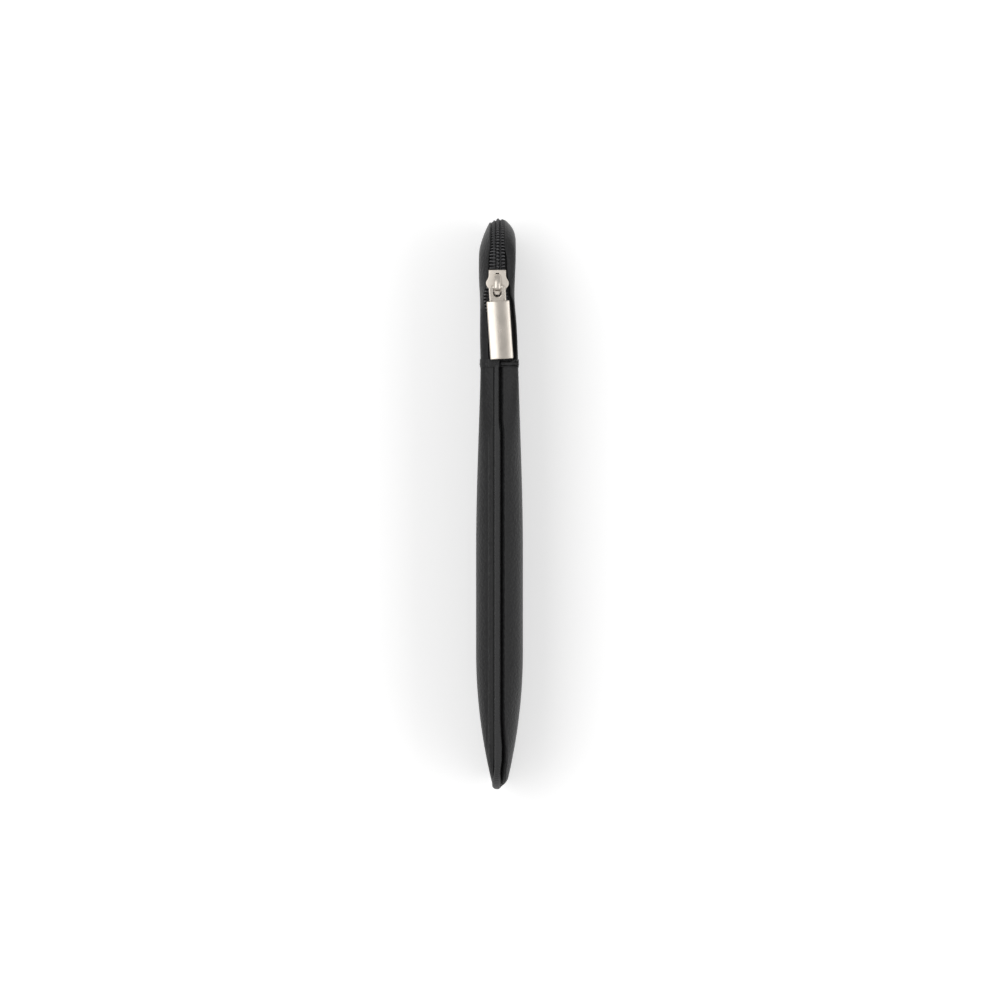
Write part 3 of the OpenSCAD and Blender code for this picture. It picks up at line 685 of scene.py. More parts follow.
def woven_material(name, tone, thread, roughness, depth):
    """Woven polyester: rounded threads over and under each other along the map, matt with a faint sheen."""
    material, tree = new_material(name)
    place = add(tree, "ShaderNodeUVMap", uv_map="weave").outputs[0]
    scale = math.pi / thread
    parts = add(tree, "ShaderNodeSeparateXYZ", {0: place})
    waves = []
    for axis in (0, 1):
        angle = add(tree, "ShaderNodeMath", {0: parts.outputs[axis], 1: scale}, operation="MULTIPLY")
        waves.append(add(tree, "ShaderNodeMath", {0: angle.outputs[0]}, operation="SINE").outputs[0])
    over = add(tree, "ShaderNodeMath", {0: waves[0], 1: waves[1]}, operation="MULTIPLY")
    height = add(tree, "ShaderNodeMapRange", {"Value": over.outputs[0], "From Min": -1.0})
    fuzz = add(tree, "ShaderNodeTexNoise", {"Vector": add(tree, "ShaderNodeTexCoord").outputs["Object"],
                                            "Scale": 1 / (0.3 * MM), "Detail": 2.0})
    shade = add(tree, "ShaderNodeMix", {0: fuzz.outputs[0], 6: rgba([v * 0.6 for v in tone]),
                                        7: rgba([min(v * 1.5, 1) for v in tone])}, data_type="RGBA")
    dents = add(tree, "ShaderNodeBump", {"Height": height.outputs[0], "Distance": depth, "Strength": 0.8})
    finish_material(tree, {"Base Color": shade.outputs[2], "Roughness": roughness, "Normal": dents.outputs[0],
                           "Sheen Weight": 0.15, "Sheen Roughness": 0.5})
    return material


def fibre_material(name, tone, fibre, roughness):
    """Bonded fibres or twisted yarn seen close: streaky and matt."""
    material, tree = new_material(name)
    place = add(tree, "ShaderNodeTexCoord").outputs["Object"]
    felt = add(tree, "ShaderNodeTexNoise", {"Vector": place, "Scale": 1 / fibre, "Detail": 4.0,
                                            "Roughness": 0.7})
    shade = add(tree, "ShaderNodeMix", {0: felt.outputs[0], 6: rgba([v * 0.7 for v in tone]),
                                        7: rgba([min(v * 1.3, 1) for v in tone])}, data_type="RGBA")
    dents = add(tree, "ShaderNodeBump", {"Height": felt.outputs[0], "Distance": 0.05 * MM, "Strength": 0.6})
    finish_material(tree, {"Base Color": shade.outputs[2], "Roughness": roughness,
                           "Normal": dents.outputs[0]})
    return material


def filament_material(name, tone):
    """Drawn polyester monofilament: smooth and slightly waxy, with faint draw marks."""
    material, tree = new_material(name)
    place = add(tree, "ShaderNodeTexCoord").outputs["Object"]
    marks = add(tree, "ShaderNodeTexNoise", {"Vector": place, "Scale": 1 / (0.25 * MM), "Detail": 2.0})
    gloss = add(tree, "ShaderNodeMapRange", {"Value": marks.outputs[0], "To Min": 0.3, "To Max": 0.42})
    finish_material(tree, {"Base Color": rgba(tone), "Roughness": gloss.outputs[0], "IOR": 1.57})
    return material


def metal_material(name, tone, low, high):
    """Satin plated zinc: a fine tumbled texture that spreads the highlights, a little worn on its crowns."""
    grit, wear = 0.12 * MM, 3 * MM
    material, tree = new_material(name)
    place = add(tree, "ShaderNodeTexCoord").outputs["Object"]
    tumbled = add(tree, "ShaderNodeTexNoise", {"Vector": place, "Scale": 1 / grit, "Detail": 2.0})
    worn = add(tree, "ShaderNodeTexNoise", {"Vector": place, "Scale": 1 / wear, "Detail": 3.0})
    gloss = add(tree, "ShaderNodeMapRange", {"Value": worn.outputs[0], "From Min": 0.3, "From Max": 0.7,
                                             "To Min": low, "To Max": high})
    shade = add(tree, "ShaderNodeMix", {0: worn.outputs[0], 6: rgba([v * 0.94 for v in tone]), 7: rgba(tone)},
                data_type="RGBA")
    dents = add(tree, "ShaderNodeBump", {"Height": tumbled.outputs[0], "Distance": 0.004 * MM,
                                        "Strength": 0.5})
    finish_material(tree, {"Base Color": shade.outputs[2], "Metallic": 1.0, "Roughness": gloss.outputs[0],
                           "Normal": dents.outputs[0]})
    return material


def painted_material(name, tone):
    """Baked black paint over metal: smooth, with the slightest orange peel."""
    material, tree = new_material(name)
    place = add(tree, "ShaderNodeTexCoord").outputs["Object"]
    peel = add(tree, "ShaderNodeTexNoise", {"Vector": place, "Scale": 1 / (0.4 * MM), "Detail": 2.0})
    dents = add(tree, "ShaderNodeBump", {"Height": peel.outputs[0], "Distance": 0.01 * MM, "Strength": 0.4})
    finish_material(tree, {"Base Color": rgba(tone), "Roughness": 0.35, "Normal": dents.outputs[0]})
    return material


# ---------------------------------------------------------------- pieces

def panel_mesh(c, side):
    """A leather panel as one closed skin: edge, dome out to the middle, and the same dome inside.

    The rows are rings round the outline, from the inner edge over the fold, out to the spine and back.
    """
    st = outline(c, SIDE_STEP, ARC_STEP)
    start, first = dome_start(c, side, st), edge_depth(side, st)
    profile = np.array(BOUND_PROFILE[side]) * MM
    last_d = profile[-1, 1]
    k = zipped(st.y)
    r = c.fold_radius
    angles = np.linspace(math.pi, FOLD_TURN, len(profile) - LEG_ROWS)
    shift = groove_shift(st, side)
    ending = smooth(*END_SPAN, -np.cos(st.a))
    rings = []

    def outside(d):
        """A ring on the outside of the leather at depth d."""
        x = dome(c, side, st, d, 0.0)
        rings.append(placed(side, st, d - relief(side, st, d, x), x))

    def inside(d, x=None):
        """A ring on its inside at depth d, or at a distance x from the seam."""
        rings.append(placed(side, st, d, dome(c, side, st, d, c.leather) if x is None else x))

    for i, (x, d) in enumerate(profile):
        angle = angles[max(i - LEG_ROWS, 0)]
        zip_x = start + r * (math.cos(angle) - math.cos(FOLD_TURN))
        zip_d = first + r * (math.sin(FOLD_TURN) - math.sin(angle))
        if i < LEG_ROWS:
            zip_d = first + LEG_DEPTH - LEG_STEP * i
        bound_x = x + shift * smooth(*SHIFT_SPAN, x)
        flat_d = first + END_FLAT * (d - last_d)
        groove_d = d if i < len(FLANGE) else mix(d, flat_d, ending)
        bound_d = groove_d + (first - last_d) * (1 - ending) * smooth(*RAISE_SPAN, x)
        rings.append(placed(side, st, mix(bound_d, zip_d, k), mix(np.minimum(bound_x, start), zip_x, k)))
    for q in np.linspace(0, 1, 32)[1:] ** 1.2:
        outside(mix(first, RIM_DEPTH, q))
    for d in np.linspace(RIM_DEPTH, HALF_W, 20)[1:]:
        outside(np.full_like(st.y, d))
    turn = len(rings) - 1
    for d in np.linspace(HALF_W, RIM_DEPTH, 8):
        inside(np.full_like(st.y, d))
    low = mix(INNER_DEPTH, first + c.leather, k)
    inside(mix(low, RIM_DEPTH, 0.5))
    inside(low)
    inside(low, mix(np.minimum(INNER_X, start - INNER_CLEAR), start - INNER_FOLD * r, k))
    return surface("panel", np.array(rings), wrap_u=True, wrap_v=True, skip=(turn,), merge=PANEL_MERGE)


def relief(side, st, d, x):
    """How far the leather stands proud: slow waves that fade at the spine, and on the back a turned ridge.

    The waves are a product of two sines. The ridge runs beside the binding between two creases, from the
    bound end up past the middle.
    """
    y, z = inset(st, d)
    below = d - edge_depth(side, st)
    wave = np.sin(y / WAVE_LONG + WAVE_PHASE * side) * np.sin(y / WAVE_CROSS + z / WAVE_DOWN + side)
    height = WAVE_H * wave * smooth(*WAVE_IN, below) * smooth(HALF_W, HALF_W - WAVE_OUT, d)
    if side == BACK:
        pressed = smooth(*RIDGE_TOP, st.y) * smooth(*RIDGE_TIP, st.y)
        height = height + pressed * sum(bump(x, fold) for fold in RIDGE)
    return height


def binding_stations(c):
    """The binding's route: down the near edge, round the bound end and back along the far edge."""
    st = outline(c, c.rib_pitch / 8, c.rib_pitch / 8)
    keep = st.y < BAND_LOW + BINDING_TUCK
    half = len(st.y) // 2
    order = np.concatenate([np.arange(half, len(st.y)), np.arange(0, half)])
    order = order[keep[order]]
    y, z, a = st.y[order], st.z[order], st.a[order]
    return Stations(y, z, a, lengths_along(np.column_stack([y, z])))


def binding_mesh(c):
    """A ribbed tape folded over the edge: a rounded channel swept along the route, ribs square to it.

    On the near edge it is folded tighter, and it spreads again round the corner of the bound end.
    """
    st = binding_stations(c)
    w, h, t = c.binding_width / 2, c.binding_depth, BINDING_T
    turn = np.linspace(0, np.pi, 17)
    outer_x = squarish(np.cos(turn), 0.85)
    outer_d = 1 - np.abs(np.sin(turn)) ** 0.9
    near = smooth(HALF_W, CASE_W - BINDING_BLEND, st.z)
    shoulder = mix(SHOULDER_END, SHOULDER_SIDE, np.sin(st.a) ** 2)
    tight = near * smooth(*TIGHT_SPAN, np.sin(st.a))
    halves = {}
    for side in (FRONT, BACK):
        folded = BINDING_TIGHT[side] + groove_shift(st, side)
        halves[side] = mix(mix(w, BINDING_SPREAD[side], near), folded, tight)
    ribs = 0.5 + 0.5 * np.cos(2 * np.pi * st.s / c.rib_pitch)
    lift = c.rib_height * (ribs ** RIB_POWER - 0.5)
    rows = []

    def row(x, d, rib):
        """One line of the section along the route: x from -1 to 1 across, d the depth."""
        across = x * np.where(x > 0, halves[FRONT], halves[BACK])
        y = st.y - (d - rib) * np.cos(st.a)
        z = st.z - (d - rib) * np.sin(st.a)
        return np.stack([SEAM_X + across, y, z], axis=-1)

    rows.append(row(1.0, h, 0))
    for x, d in zip(outer_x, outer_d):
        edge = 1 + RIB_BULGE * (ribs - 0.5)
        rows.append(row(x * edge, d * shoulder, lift * (1 - 0.5 * d) - c.rib_height / 2))
    rows.append(row(-1.0, h, 0))
    for x, d in ((-0.62, h), (-0.6, t + 0.1 * MM), (-0.4, t), (0.4, t), (0.6, t + 0.1 * MM), (0.62, h)):
        rows.append(row(x, d, 0))
    points = np.array(rows).transpose(1, 0, 2)
    across = np.arange(1, points.shape[1] + 1) * WEAVE_ROW
    uv = np.stack(np.broadcast_arrays(st.s[:, None], across[None, :]), axis=-1)
    return surface("binding", points, wrap_u=True, uv=uv, cap_ends=True)


def stitch_mesh(name, places, along, out, length, thick):
    """Stitches as short bent threads: each a tube that rises from its holes by a half sine.

    places, along and out are rows of middles, unit directions and outward normals.
    """
    steps, sides = 9, 8
    u = np.linspace(-1, 1, steps)
    turn = np.linspace(0, 2 * np.pi, sides, endpoint=False)
    across = np.cross(along, out)
    height = thick * (1.1 * np.cos(u * np.pi / 2) - 0.45)
    slim = np.sqrt(np.clip(1 - np.abs(u) ** 6, 0.05, 1))
    middle = (places[:, None, None] + along[:, None, None] * (u * length / 2)[None, :, None, None]
              + out[:, None, None] * height[None, :, None, None])
    ring = (across[:, None, None] * np.cos(turn)[None, None, :, None]
            + out[:, None, None] * np.sin(turn)[None, None, :, None]) * (thick / 2)
    points = middle + ring * slim[None, :, None, None]
    count = len(places)
    mesh_points = points.reshape(count, steps * sides, 3)
    base = np.arange(steps * sides).reshape(steps, sides)
    quads = []
    for i in range(steps - 1):
        for j in range(sides):
            n = (j + 1) % sides
            quads.append([base[i, j], base[i, n], base[i + 1, n], base[i + 1, j]])
    ends = [base[0, ::-1].tolist(), base[-1].tolist()]
    faces = []
    for k in range(count):
        offset = k * steps * sides
        faces += [[v + offset for v in q] for q in quads + ends]
    mesh = bpy.data.meshes.new(name)
    mesh.from_pydata(mesh_points.reshape(-1, 3), [], faces)
    tidy_mesh(mesh)
    return mesh


def band_route(c):
    """The hem band's loop: over the crest, down one flank, under the far edge and up the other."""
    loops = []
    for z, angle in ((CASE_W, math.pi / 2), (0.0, -math.pi / 2)):
        one = Stations(*(np.array([v]) for v in (BAND_TOP, z, angle, 0.0)))
        d = np.concatenate([np.linspace(ZIP_EDGE, RIM_DEPTH, 24), np.linspace(RIM_DEPTH, HALF_W, 40)[1:]])
        flanks = []
        for side in (BACK, FRONT):
            x = np.array([dome(c, side, one, np.array([v]), 0.0)[0] for v in d])
            x += (reach(c, side, BAND_LOW) - reach(c, side, BAND_TOP)) / 2 + BAND_CLEAR
            flanks.append(np.stack([side * x, d], axis=-1))
        back, front = flanks
        crest_x = np.linspace(back[0, 0], front[0, 0], 80)[1:-1]
        top = smooth(*CREST_BACK, crest_x) * smooth(*CREST_FRONT, crest_x)
        dip = bump(crest_x, BAND_DIP) if z > 0 else 0.0
        crest = np.stack([crest_x, mix(ZIP_EDGE, BAND_DEPTH, top) + dip], axis=-1)
        loop = np.concatenate([back[:0:-1], back[:1], crest, front])
        loops.append(np.stack([loop[:, 0], abs(z - loop[:, 1])], axis=-1))
    near, far = loops
    return np.concatenate([near, far[-2:0:-1]])


def outward(route):
    """Unit normals of a closed loop in the X-Z plane, pointing away from it."""
    step = frames_along(route, closed=True)
    return np.stack([-step[:, 1], step[:, 0]], axis=-1)


def band_mesh(c):
    """The hem band: a strip with rounded edges swept round the loop, a little crowned."""
    route = band_route(c)
    normal = outward(route)
    middle, half = (BAND_LOW + BAND_TOP) / 2, (BAND_TOP - BAND_LOW) / 2
    turn = np.linspace(0, 2 * np.pi, 20, endpoint=False)
    v = squarish(np.cos(turn), 0.45) * half
    h = (squarish(np.sin(turn), 0.6) + 1) * BAND_T / 2
    x = route[:, None, 0] + normal[:, None, 0] * h[None, :]
    z = route[:, None, 1] + normal[:, None, 1] * h[None, :]
    cut = BAND_CUT * smooth(*BAND_CUT_SPAN, x) * smooth(*BAND_CUT_RISE, z)
    y = middle + v - cut * (v > 0)
    return surface("band", np.stack([SEAM_X + x, y, z], axis=-1), wrap_u=True, wrap_v=True)


def hem_stitches_mesh(c):
    """A row of stitches round the hem band beside its lower edge, none where the case stands on it."""
    route = band_route(c)
    normal = outward(route)
    s = lengths_along(route)
    at = np.arange(STITCH_START, s[-1] - STITCH_END, c.stitch + STITCH_GAP)
    at = at[np.interp(at, s, route[:, 1]) > STITCH_FLOOR]
    spot = np.stack([np.interp(at, s, route[:, i]) for i in (0, 1)], axis=-1)
    facing = np.stack([np.interp(at, s, normal[:, i]) for i in (0, 1)], axis=-1)
    facing /= np.linalg.norm(facing, axis=-1, keepdims=True)
    out = np.column_stack([facing[:, 0], np.zeros(len(at)), facing[:, 1]])
    along = np.column_stack([facing[:, 1], np.zeros(len(at)), -facing[:, 0]])
    places = np.column_stack([SEAM_X + spot[:, 0], np.full(len(at), BAND_LOW + STITCH_EDGE), spot[:, 1]])
    return stitch_mesh("hem_stitches", places + out * (BAND_T - STITCH_SINK), along, out, c.stitch, c.thread)


def tape_mesh(c, side):
    """A woven tape: a flat strip under the coil, then a leg inside the leather, swept along the zip."""
    st = outline(c, SIDE_STEP, ARC_STEP)
    keep = st.y >= BAND_TOP - TAPE_TUCK
    st = Stations(*(v[keep] for v in st))
    o, start = COIL_SHARE[side] * near_open(c, side, st), dome_start(c, side, st)
    top = c.coil_height + TAPE_SEAT
    under = top + c.tape
    t = c.leather + TAPE_CLEAR
    thick = c.tape - TAPE_CLEAR

    def inner(d, extra):
        d = np.full_like(st.y, d)
        return d, dome(c, side, st, d, t + extra)

    flat = start - TAPE_GAP - o
    lines = [(np.full_like(st.y, top), TAPE_GAP + o + flat * k) for k in (0.0, 0.3, 0.6, 0.97)]
    lines += [inner(under + BEND_OUT, 0.0), inner(TAPE_LEG, 0.0), inner(TAPE_LEG, thick),
              inner(under + BEND_IN, thick)]
    lines += [(np.full_like(st.y, under), TAPE_GAP + o + flat * k) for k in (0.93, 0.6, 0.3, 0.0)]
    points = np.array([placed(side, st, np.maximum(d, top + bowed(side, x, st.y)), x) for d, x in lines])
    points = points.transpose(1, 0, 2)
    across = lengths_along(points[0])
    uv = np.stack(np.broadcast_arrays(st.s[:, None], across[None, :]), axis=-1)
    return surface("tape", points, wrap_u=True, uv=uv, cap_ends=True)


def bowed(side, x, y):
    """How much deeper the chain lies round the top, at a distance x from the seam on a side: a parabola."""
    return BOW * (side * x - BOW_X) ** 2 * at_top(y)


def zip_lengths(c):
    """Lengths of the zip's straight side, of its corner at the coil's middle and of its whole way."""
    side_l = HALF_L - c.top_radius - CHAIN_END
    arc_l = (c.top_radius - c.coil_height / 2) * math.pi / 2
    return side_l, arc_l, 2 * (side_l + arc_l) + CASE_W - 2 * c.top_radius


def first_loop(c, side):
    """Where a side's first loop starts along the zip: the back's lie half a pitch further on."""
    return c.wire + (0.0 if side == FRONT else c.coil_pitch / 2)


def zip_way(c, side, s, depth):
    """Y and Z at a distance s along the zip and a depth inside it, and how far the side stands open there.

    The way runs up the near side, round a corner, across the top, round a corner and down the far side.
    """
    r = c.top_radius - depth
    side_l, arc_l, total = zip_lengths(c)
    far = s > total / 2
    q = np.where(far, total - s, s)
    a = math.pi / 2 - np.clip((q - side_l) / arc_l, 0, 1) * math.pi / 2
    y = np.where(q < side_l, CHAIN_END + q, HALF_L - c.top_radius + r * np.cos(a))
    z = np.where(q < side_l, CASE_W - depth, CASE_W - c.top_radius + r * np.sin(a))
    past = np.maximum(q - side_l - arc_l, 0)
    z = z - past
    z = np.where(far, CASE_W - z, z)
    share = COIL_SHARE[side] * open_share(side, CHAIN_END + q)
    return y, z, np.where((q < side_l) & ~far, c.gape * share, 0.0)


def laid(c, side, way, depth, x):
    """The same as zip_way at a distance x from the seam, let down where the chain is bowed round the top."""
    y = zip_way(c, side, way, depth)[0]
    return zip_way(c, side, way, depth + bowed(side, x, y))


def coil_section(side, count):
    """One turn of the filament's middle line, from its head at the seam over the upper leg and back below.

    A closed curve through points, in mm from the seam and above the coil's middle. Its upper leg dips where
    the sewing thread pulls it down. Returns distance, height, the outward normal and the share of the turn.
    """
    loop = smooth_loop(np.array(COIL_UPPER[side] + COIL_LOWER) * MM, 400)
    line = resampled(loop, count)
    tangent = frames_along(line, closed=True)
    normal = np.stack([-tangent[:, 1], tangent[:, 0]], axis=-1)
    share = np.arange(count) / count
    return line[:, 0], line[:, 1], normal[:, 0], normal[:, 1], share


def coil_mesh(c, side):
    """A coil: the filament wound as one continuous helix of shaped loops along the zip."""
    count, sides = 32, 8
    x, h, nx, nh, share = coil_section(side, count)
    step = smooth(*COIL_STEP, share)
    press = bump(x, HEAD_PRESS)
    first, total = first_loop(c, side), zip_lengths(c)[2]
    loops = int((total - first) / c.coil_pitch)
    s = (first + (np.arange(loops)[:, None] + step[None, :]) * c.coil_pitch).ravel()
    x, h, nx, nh, press = (np.tile(v, loops) for v in (x, h, nx, nh, press))
    turn = np.linspace(0, 2 * np.pi, sides, endpoint=False)
    out, along = np.cos(turn)[None, :] * c.wire / 2, np.sin(turn)[None, :] * c.wire / 2
    sx = x[:, None] + nx[:, None] * out
    sd = c.coil_height / 2 - h[:, None] - nh[:, None] * out
    ss = s[:, None] + along * (1 + press[:, None])
    y, z, _ = laid(c, side, np.clip(ss, 0, total), sd, sx)
    opened = zip_way(c, side, np.clip(s, 0, total), 0.0)[2]
    px = SEAM_X + side * (sx + opened[:, None])
    return surface("coil", np.stack([px, y, z], axis=-1), wrap_u=True, cap_ends=True)


def coil_thread_mesh(c, side):
    """The two-ply thread that sews a coil to its tape: it lies in the loops' dip and drops between them."""
    s = np.arange(SEWING_END, zip_lengths(c)[2] - SEWING_END, c.coil_pitch / 8)
    beat = np.cos(2 * np.pi * (s - first_loop(c, side)) / c.coil_pitch)
    x, h = THREAD_X[side], THREAD_H[side] + SEWING_BEAT * beat
    turn = np.linspace(0, 2 * np.pi, 8, endpoint=False)
    twist = 2 * np.pi * s[:, None] / SEWING_TWIST
    radius = SEWING_R * (1 + SEWING_PLY * np.cos(2 * (turn[None, :] - twist)))
    sd = c.coil_height / 2 - h[:, None] - radius * np.sin(turn)[None, :]
    way = np.broadcast_to(s[:, None], sd.shape)
    y, z, opened = laid(c, side, way, sd, x)
    px = SEAM_X + side * (x + radius * np.cos(turn)[None, :] + opened)
    return surface("thread", np.stack([px, y, z], axis=-1), wrap_u=True, cap_ends=True)


# ---------------------------------------------------------------- slabs of metal

def slab_mesh(name, outline_xy, core_xy, low, high, edge, crown, hole=False, steps=6):
    """A plate with rounded edges: rings from the bottom's core out to the rim, up its side and back in.

    outline_xy runs anticlockwise. core_xy holds the point that each outline point runs to: on a middle line,
    or on a hole's rim, which is then rounded too. crown(x, y) is added to the top.
    """
    tangent = frames_along(outline_xy, closed=True)
    inwards = np.stack([-tangent[:, 1], tangent[:, 0]], axis=-1)
    quarter = np.linspace(0, np.pi / 2, steps)
    rim = outline_xy + inwards * edge
    rings = []

    def ring(xy, z, lift):
        """One line round the plate at a height, raised by the crown on the plate's top."""
        raised = crown(xy[:, 0], xy[:, 1]) if lift else 0.0
        rings.append(np.column_stack([xy, np.full(len(xy), z) + raised]))

    innermost = HOLE_SHARE if hole else 0.0
    for k in (innermost, 0.5) if hole else (innermost, 0.35, 0.7):
        ring(mix(core_xy, rim, k), low, False)
    for a in quarter:
        ring(outline_xy + inwards * edge * (1 - np.sin(a)), low + edge * (1 - np.cos(a)), False)
    for a in quarter:
        ring(outline_xy + inwards * edge * (1 - np.cos(a)), high - edge * (1 - np.sin(a)), True)
    for k in np.linspace(1, innermost, 12)[1:]:
        ring(mix(core_xy, rim, k), high, True)
    if hole:
        towards = outline_xy - core_xy
        towards /= np.linalg.norm(towards, axis=-1, keepdims=True)
        for a in quarter[1:]:
            ring(core_xy + towards * edge * (1 - np.sin(a)), high - edge * (1 - np.cos(a)), True)
        for a in quarter[:-1]:
            ring(core_xy + towards * edge * (1 - np.cos(a)), low + edge * (1 - np.sin(a)), False)
    return surface(name, np.array(rings), wrap_u=True, wrap_v=hole, merge=PLATE_MERGE)


def flat(x, y):
    """The crown of a plate that has none."""
    return 0.0


def resampled(points, count):
    """A closed loop of points spaced evenly along it."""
    loop = np.vstack([points, points[:1]])
    s = lengths_along(loop)
    t = np.linspace(0, s[-1], count, endpoint=False)
    return np.stack([np.interp(t, s, loop[:, i]) for i in (0, 1)], axis=-1)


def rounded(points, radius, count=8):
    """A polygon with each corner replaced by an arc-like curve, anticlockwise."""
    out = []
    n = len(points)
    for i in range(n):
        p, a, b = (np.asarray(points[j % n], float) for j in (i, i - 1, i + 1))
        ra = min(radius, np.linalg.norm(a - p) / 2)
        rb = min(radius, np.linalg.norm(b - p) / 2)
        start, end = p + (a - p) / np.linalg.norm(a - p) * ra, p + (b - p) / np.linalg.norm(b - p) * rb
        for t in np.linspace(0, 1, count):
            out.append((1 - t) ** 2 * start + 2 * t * (1 - t) * p + t * t * end)
    return np.array(out)


def turned(mesh, angle, centre):
    """Turns a mesh in its plane about a point, anticlockwise as seen from above."""
    co = np.empty(len(mesh.vertices) * 3)
    mesh.vertices.foreach_get("co", co)
    co = co.reshape(-1, 3)
    x, y = co[:, 0] - centre[0], co[:, 1] - centre[1]
    co[:, 0] = centre[0] + x * math.cos(angle) - y * math.sin(angle)
    co[:, 1] = centre[1] + x * math.sin(angle) + y * math.cos(angle)
    mesh.vertices.foreach_set("co", co.ravel())
    mesh.update()
    return mesh


def mirrored(half):
    """A closed outline: its right half from the rear to the nose, and the same on the left back."""
    return [*half, *((-x, y) for x, y in reversed(half))]


def plate_outline(nose, wing):
    """The slider's outline: a straight nose, rounded wings and a drawn-in rear, anticlockwise."""
    half = [(1.0 * MM, REAR_END), (2.42 * MM, REAR_END + 0.5 * MM), (nose - 0.12 * MM, SLIDER_Y - 1.75 * MM),
            (wing, SLIDER_Y - 0.5 * MM), (wing, SLIDER_Y + 0.5 * MM), (nose, SLIDER_Y + 1.9 * MM),
            (nose, NOSE_END)]
    return resampled(rounded(mirrored(half), PLATE_CORNER), PLATE_POINTS)


def middle_line(outline_xy, low, high):
    """For each point of an outline the nearest of a line along its middle, from low to high."""
    return np.stack([np.zeros(len(outline_xy)), np.clip(outline_xy[:, 1], low, high)], axis=-1)


def upper_plate_mesh(line):
    """The slider's upper plate with its claw hole: crowned across, low at its rear under the pull's eye."""
    centre = np.array([0.0, CLAW_Y])
    towards = line - centre
    towards /= np.linalg.norm(towards, axis=-1, keepdims=True)
    shape = np.maximum(np.abs(towards), 1e-6)
    claw_hole = centre + towards * np.minimum(CLAW_W / shape[:, :1], CLAW_L / shape[:, 1:])

    def crown(x, y):
        """A parabola across the plate, less its fall towards the rear."""
        rear = REAR_FALL * smooth(*REAR_FALL_SPAN, y)
        return PLATE_CROWN * (1 - ((x - SEAM_X) / UPPER_WIDTHS[1]) ** 2) - rear

    return slab_mesh("upper", line + [SEAM_X, 0], claw_hole + [SEAM_X, 0], PLATE_TOP - PLATE_T,
                     PLATE_TOP - PLATE_CROWN, UPPER_EDGE, crown, hole=True)


def slider_mesh():
    """The slider body: its upper plate, lower plate, the diamond that joins them and two flanges."""
    line = plate_outline(*UPPER_WIDTHS)
    tongue = smooth(*TONGUE_SPAN, np.abs(line[:, 0])) * (line[:, 1] < TONGUE_END)
    line = line - np.outer(tongue, [0.0, TONGUE])
    seam = np.array([SEAM_X, 0.0])
    top_low = PLATE_TOP - PLATE_T
    core = middle_line(line, REAR_END + 1.8 * MM, NOSE_END - 2.2 * MM)
    corners = np.roll(mirrored(DIAMOND), 1, axis=0)
    post = resampled(rounded(corners, 0.3 * MM), 80)
    post_core = middle_line(post, REAR_END + 0.7 * MM, SLIDER_Y - 1 * MM)
    parts = [
        upper_plate_mesh(line),
        slab_mesh("lower", plate_outline(*LOWER_WIDTHS) + seam, core + seam, LOWER_PLATE,
                  LOWER_PLATE + PLATE_T, LOWER_EDGE, flat),
        slab_mesh("diamond", post + seam, post_core + seam, LOWER_PLATE + PLATE_T - LAP, top_low + LAP,
                  HIDDEN_EDGE, flat, steps=3),
    ]
    places, widths = np.array(WALL_LINE).T * MM
    for side in (-1, 1):
        wall = [(side * x * MM, y * MM + SLIDER_Y) for x, y in WALL[::-side]]
        loop = resampled(rounded(wall, 0.12 * MM), 120)
        spine = np.stack([side * np.interp(loop[:, 1] - SLIDER_Y, places, widths), loop[:, 1]], axis=-1)
        parts.append(slab_mesh("flange", loop + seam, spine + seam, WALL_LOW, top_low + 2 * LAP,
                               HIDDEN_EDGE, flat, steps=3))
    return joined("slider", parts)


def strap_mesh(name, route, width, thick, crown):
    """A rounded strap swept along a route in the Y-Z plane; width and thick are values along the route.

    Its outer face is a half ellipse, higher by the crown, and its inner face is nearly flat.
    """
    sides = 24
    step = frames_along(route)
    normal = np.stack([-step[:, 1], step[:, 0]], axis=-1)
    turn = np.linspace(0, 2 * np.pi, sides, endpoint=False)
    across = squarish(np.cos(turn), 0.95)
    out = squarish(np.sin(turn), 0.9)
    outer = out < 0
    lift = out[None, :] * (thick[:, None] / 2 + crown * outer[None, :])
    x = SEAM_X + across[None, :] * width[:, None] / 2
    y = route[:, None, 0] + normal[:, None, 0] * lift
    z = route[:, None, 1] + normal[:, None, 1] * lift
    return surface(name, np.stack([x, y, z], axis=-1), wrap_u=True, cap_ends=True)


def catmull_rom(a, b, d, e, f):
    """Points a share f of the way from b to d, on the cubic whose slopes there heed a before and e after."""
    return 0.5 * (2 * b + (d - a) * f + (2 * a - 5 * b + 4 * d - e) * f ** 2
                  + (3 * b - a - 3 * d + e) * f ** 3)


def smooth_loop(points, count):
    """A smooth closed curve through points: Catmull-Rom, spaced evenly in its parameter."""
    n = len(points)
    t = np.linspace(0, n, count, endpoint=False)
    i = t.astype(int)
    f = (t - i)[:, None]
    return catmull_rom(*(points[(i + k) % n] for k in (-1, 0, 1, 2)), f)


def curve_through(points, count):
    """A smooth open curve through points: Catmull-Rom, spaced evenly in its parameter."""
    p = np.vstack([2 * points[0] - points[1], points, 2 * points[-1] - points[-2]])
    t = np.linspace(0, len(points) - 1 - 1e-9, count)
    i = t.astype(int)
    f = (t - i)[:, None]
    return catmull_rom(*(p[i + k] for k in range(4)), f)


def cap_mesh():
    """The slider's cap: a strap from the front foot up over the bar and down through the pull's eye."""
    k = np.linspace(0, 1, 70)
    route = curve_through(np.array(CAP_ROUTE) * MM + [HINGE[1], HINGE[2]], len(k))
    width = mix(CAP_FOOT_W, CAP_W, smooth(0.0, 0.25, k)) - CAP_NARROWING * smooth(0.78, 0.92, k)
    thick = mix(CAP_FOOT_T, CAP_END_T, smooth(0.65, 0.85, k))
    return strap_mesh("cap", route, width, thick, CAP_CROWN)


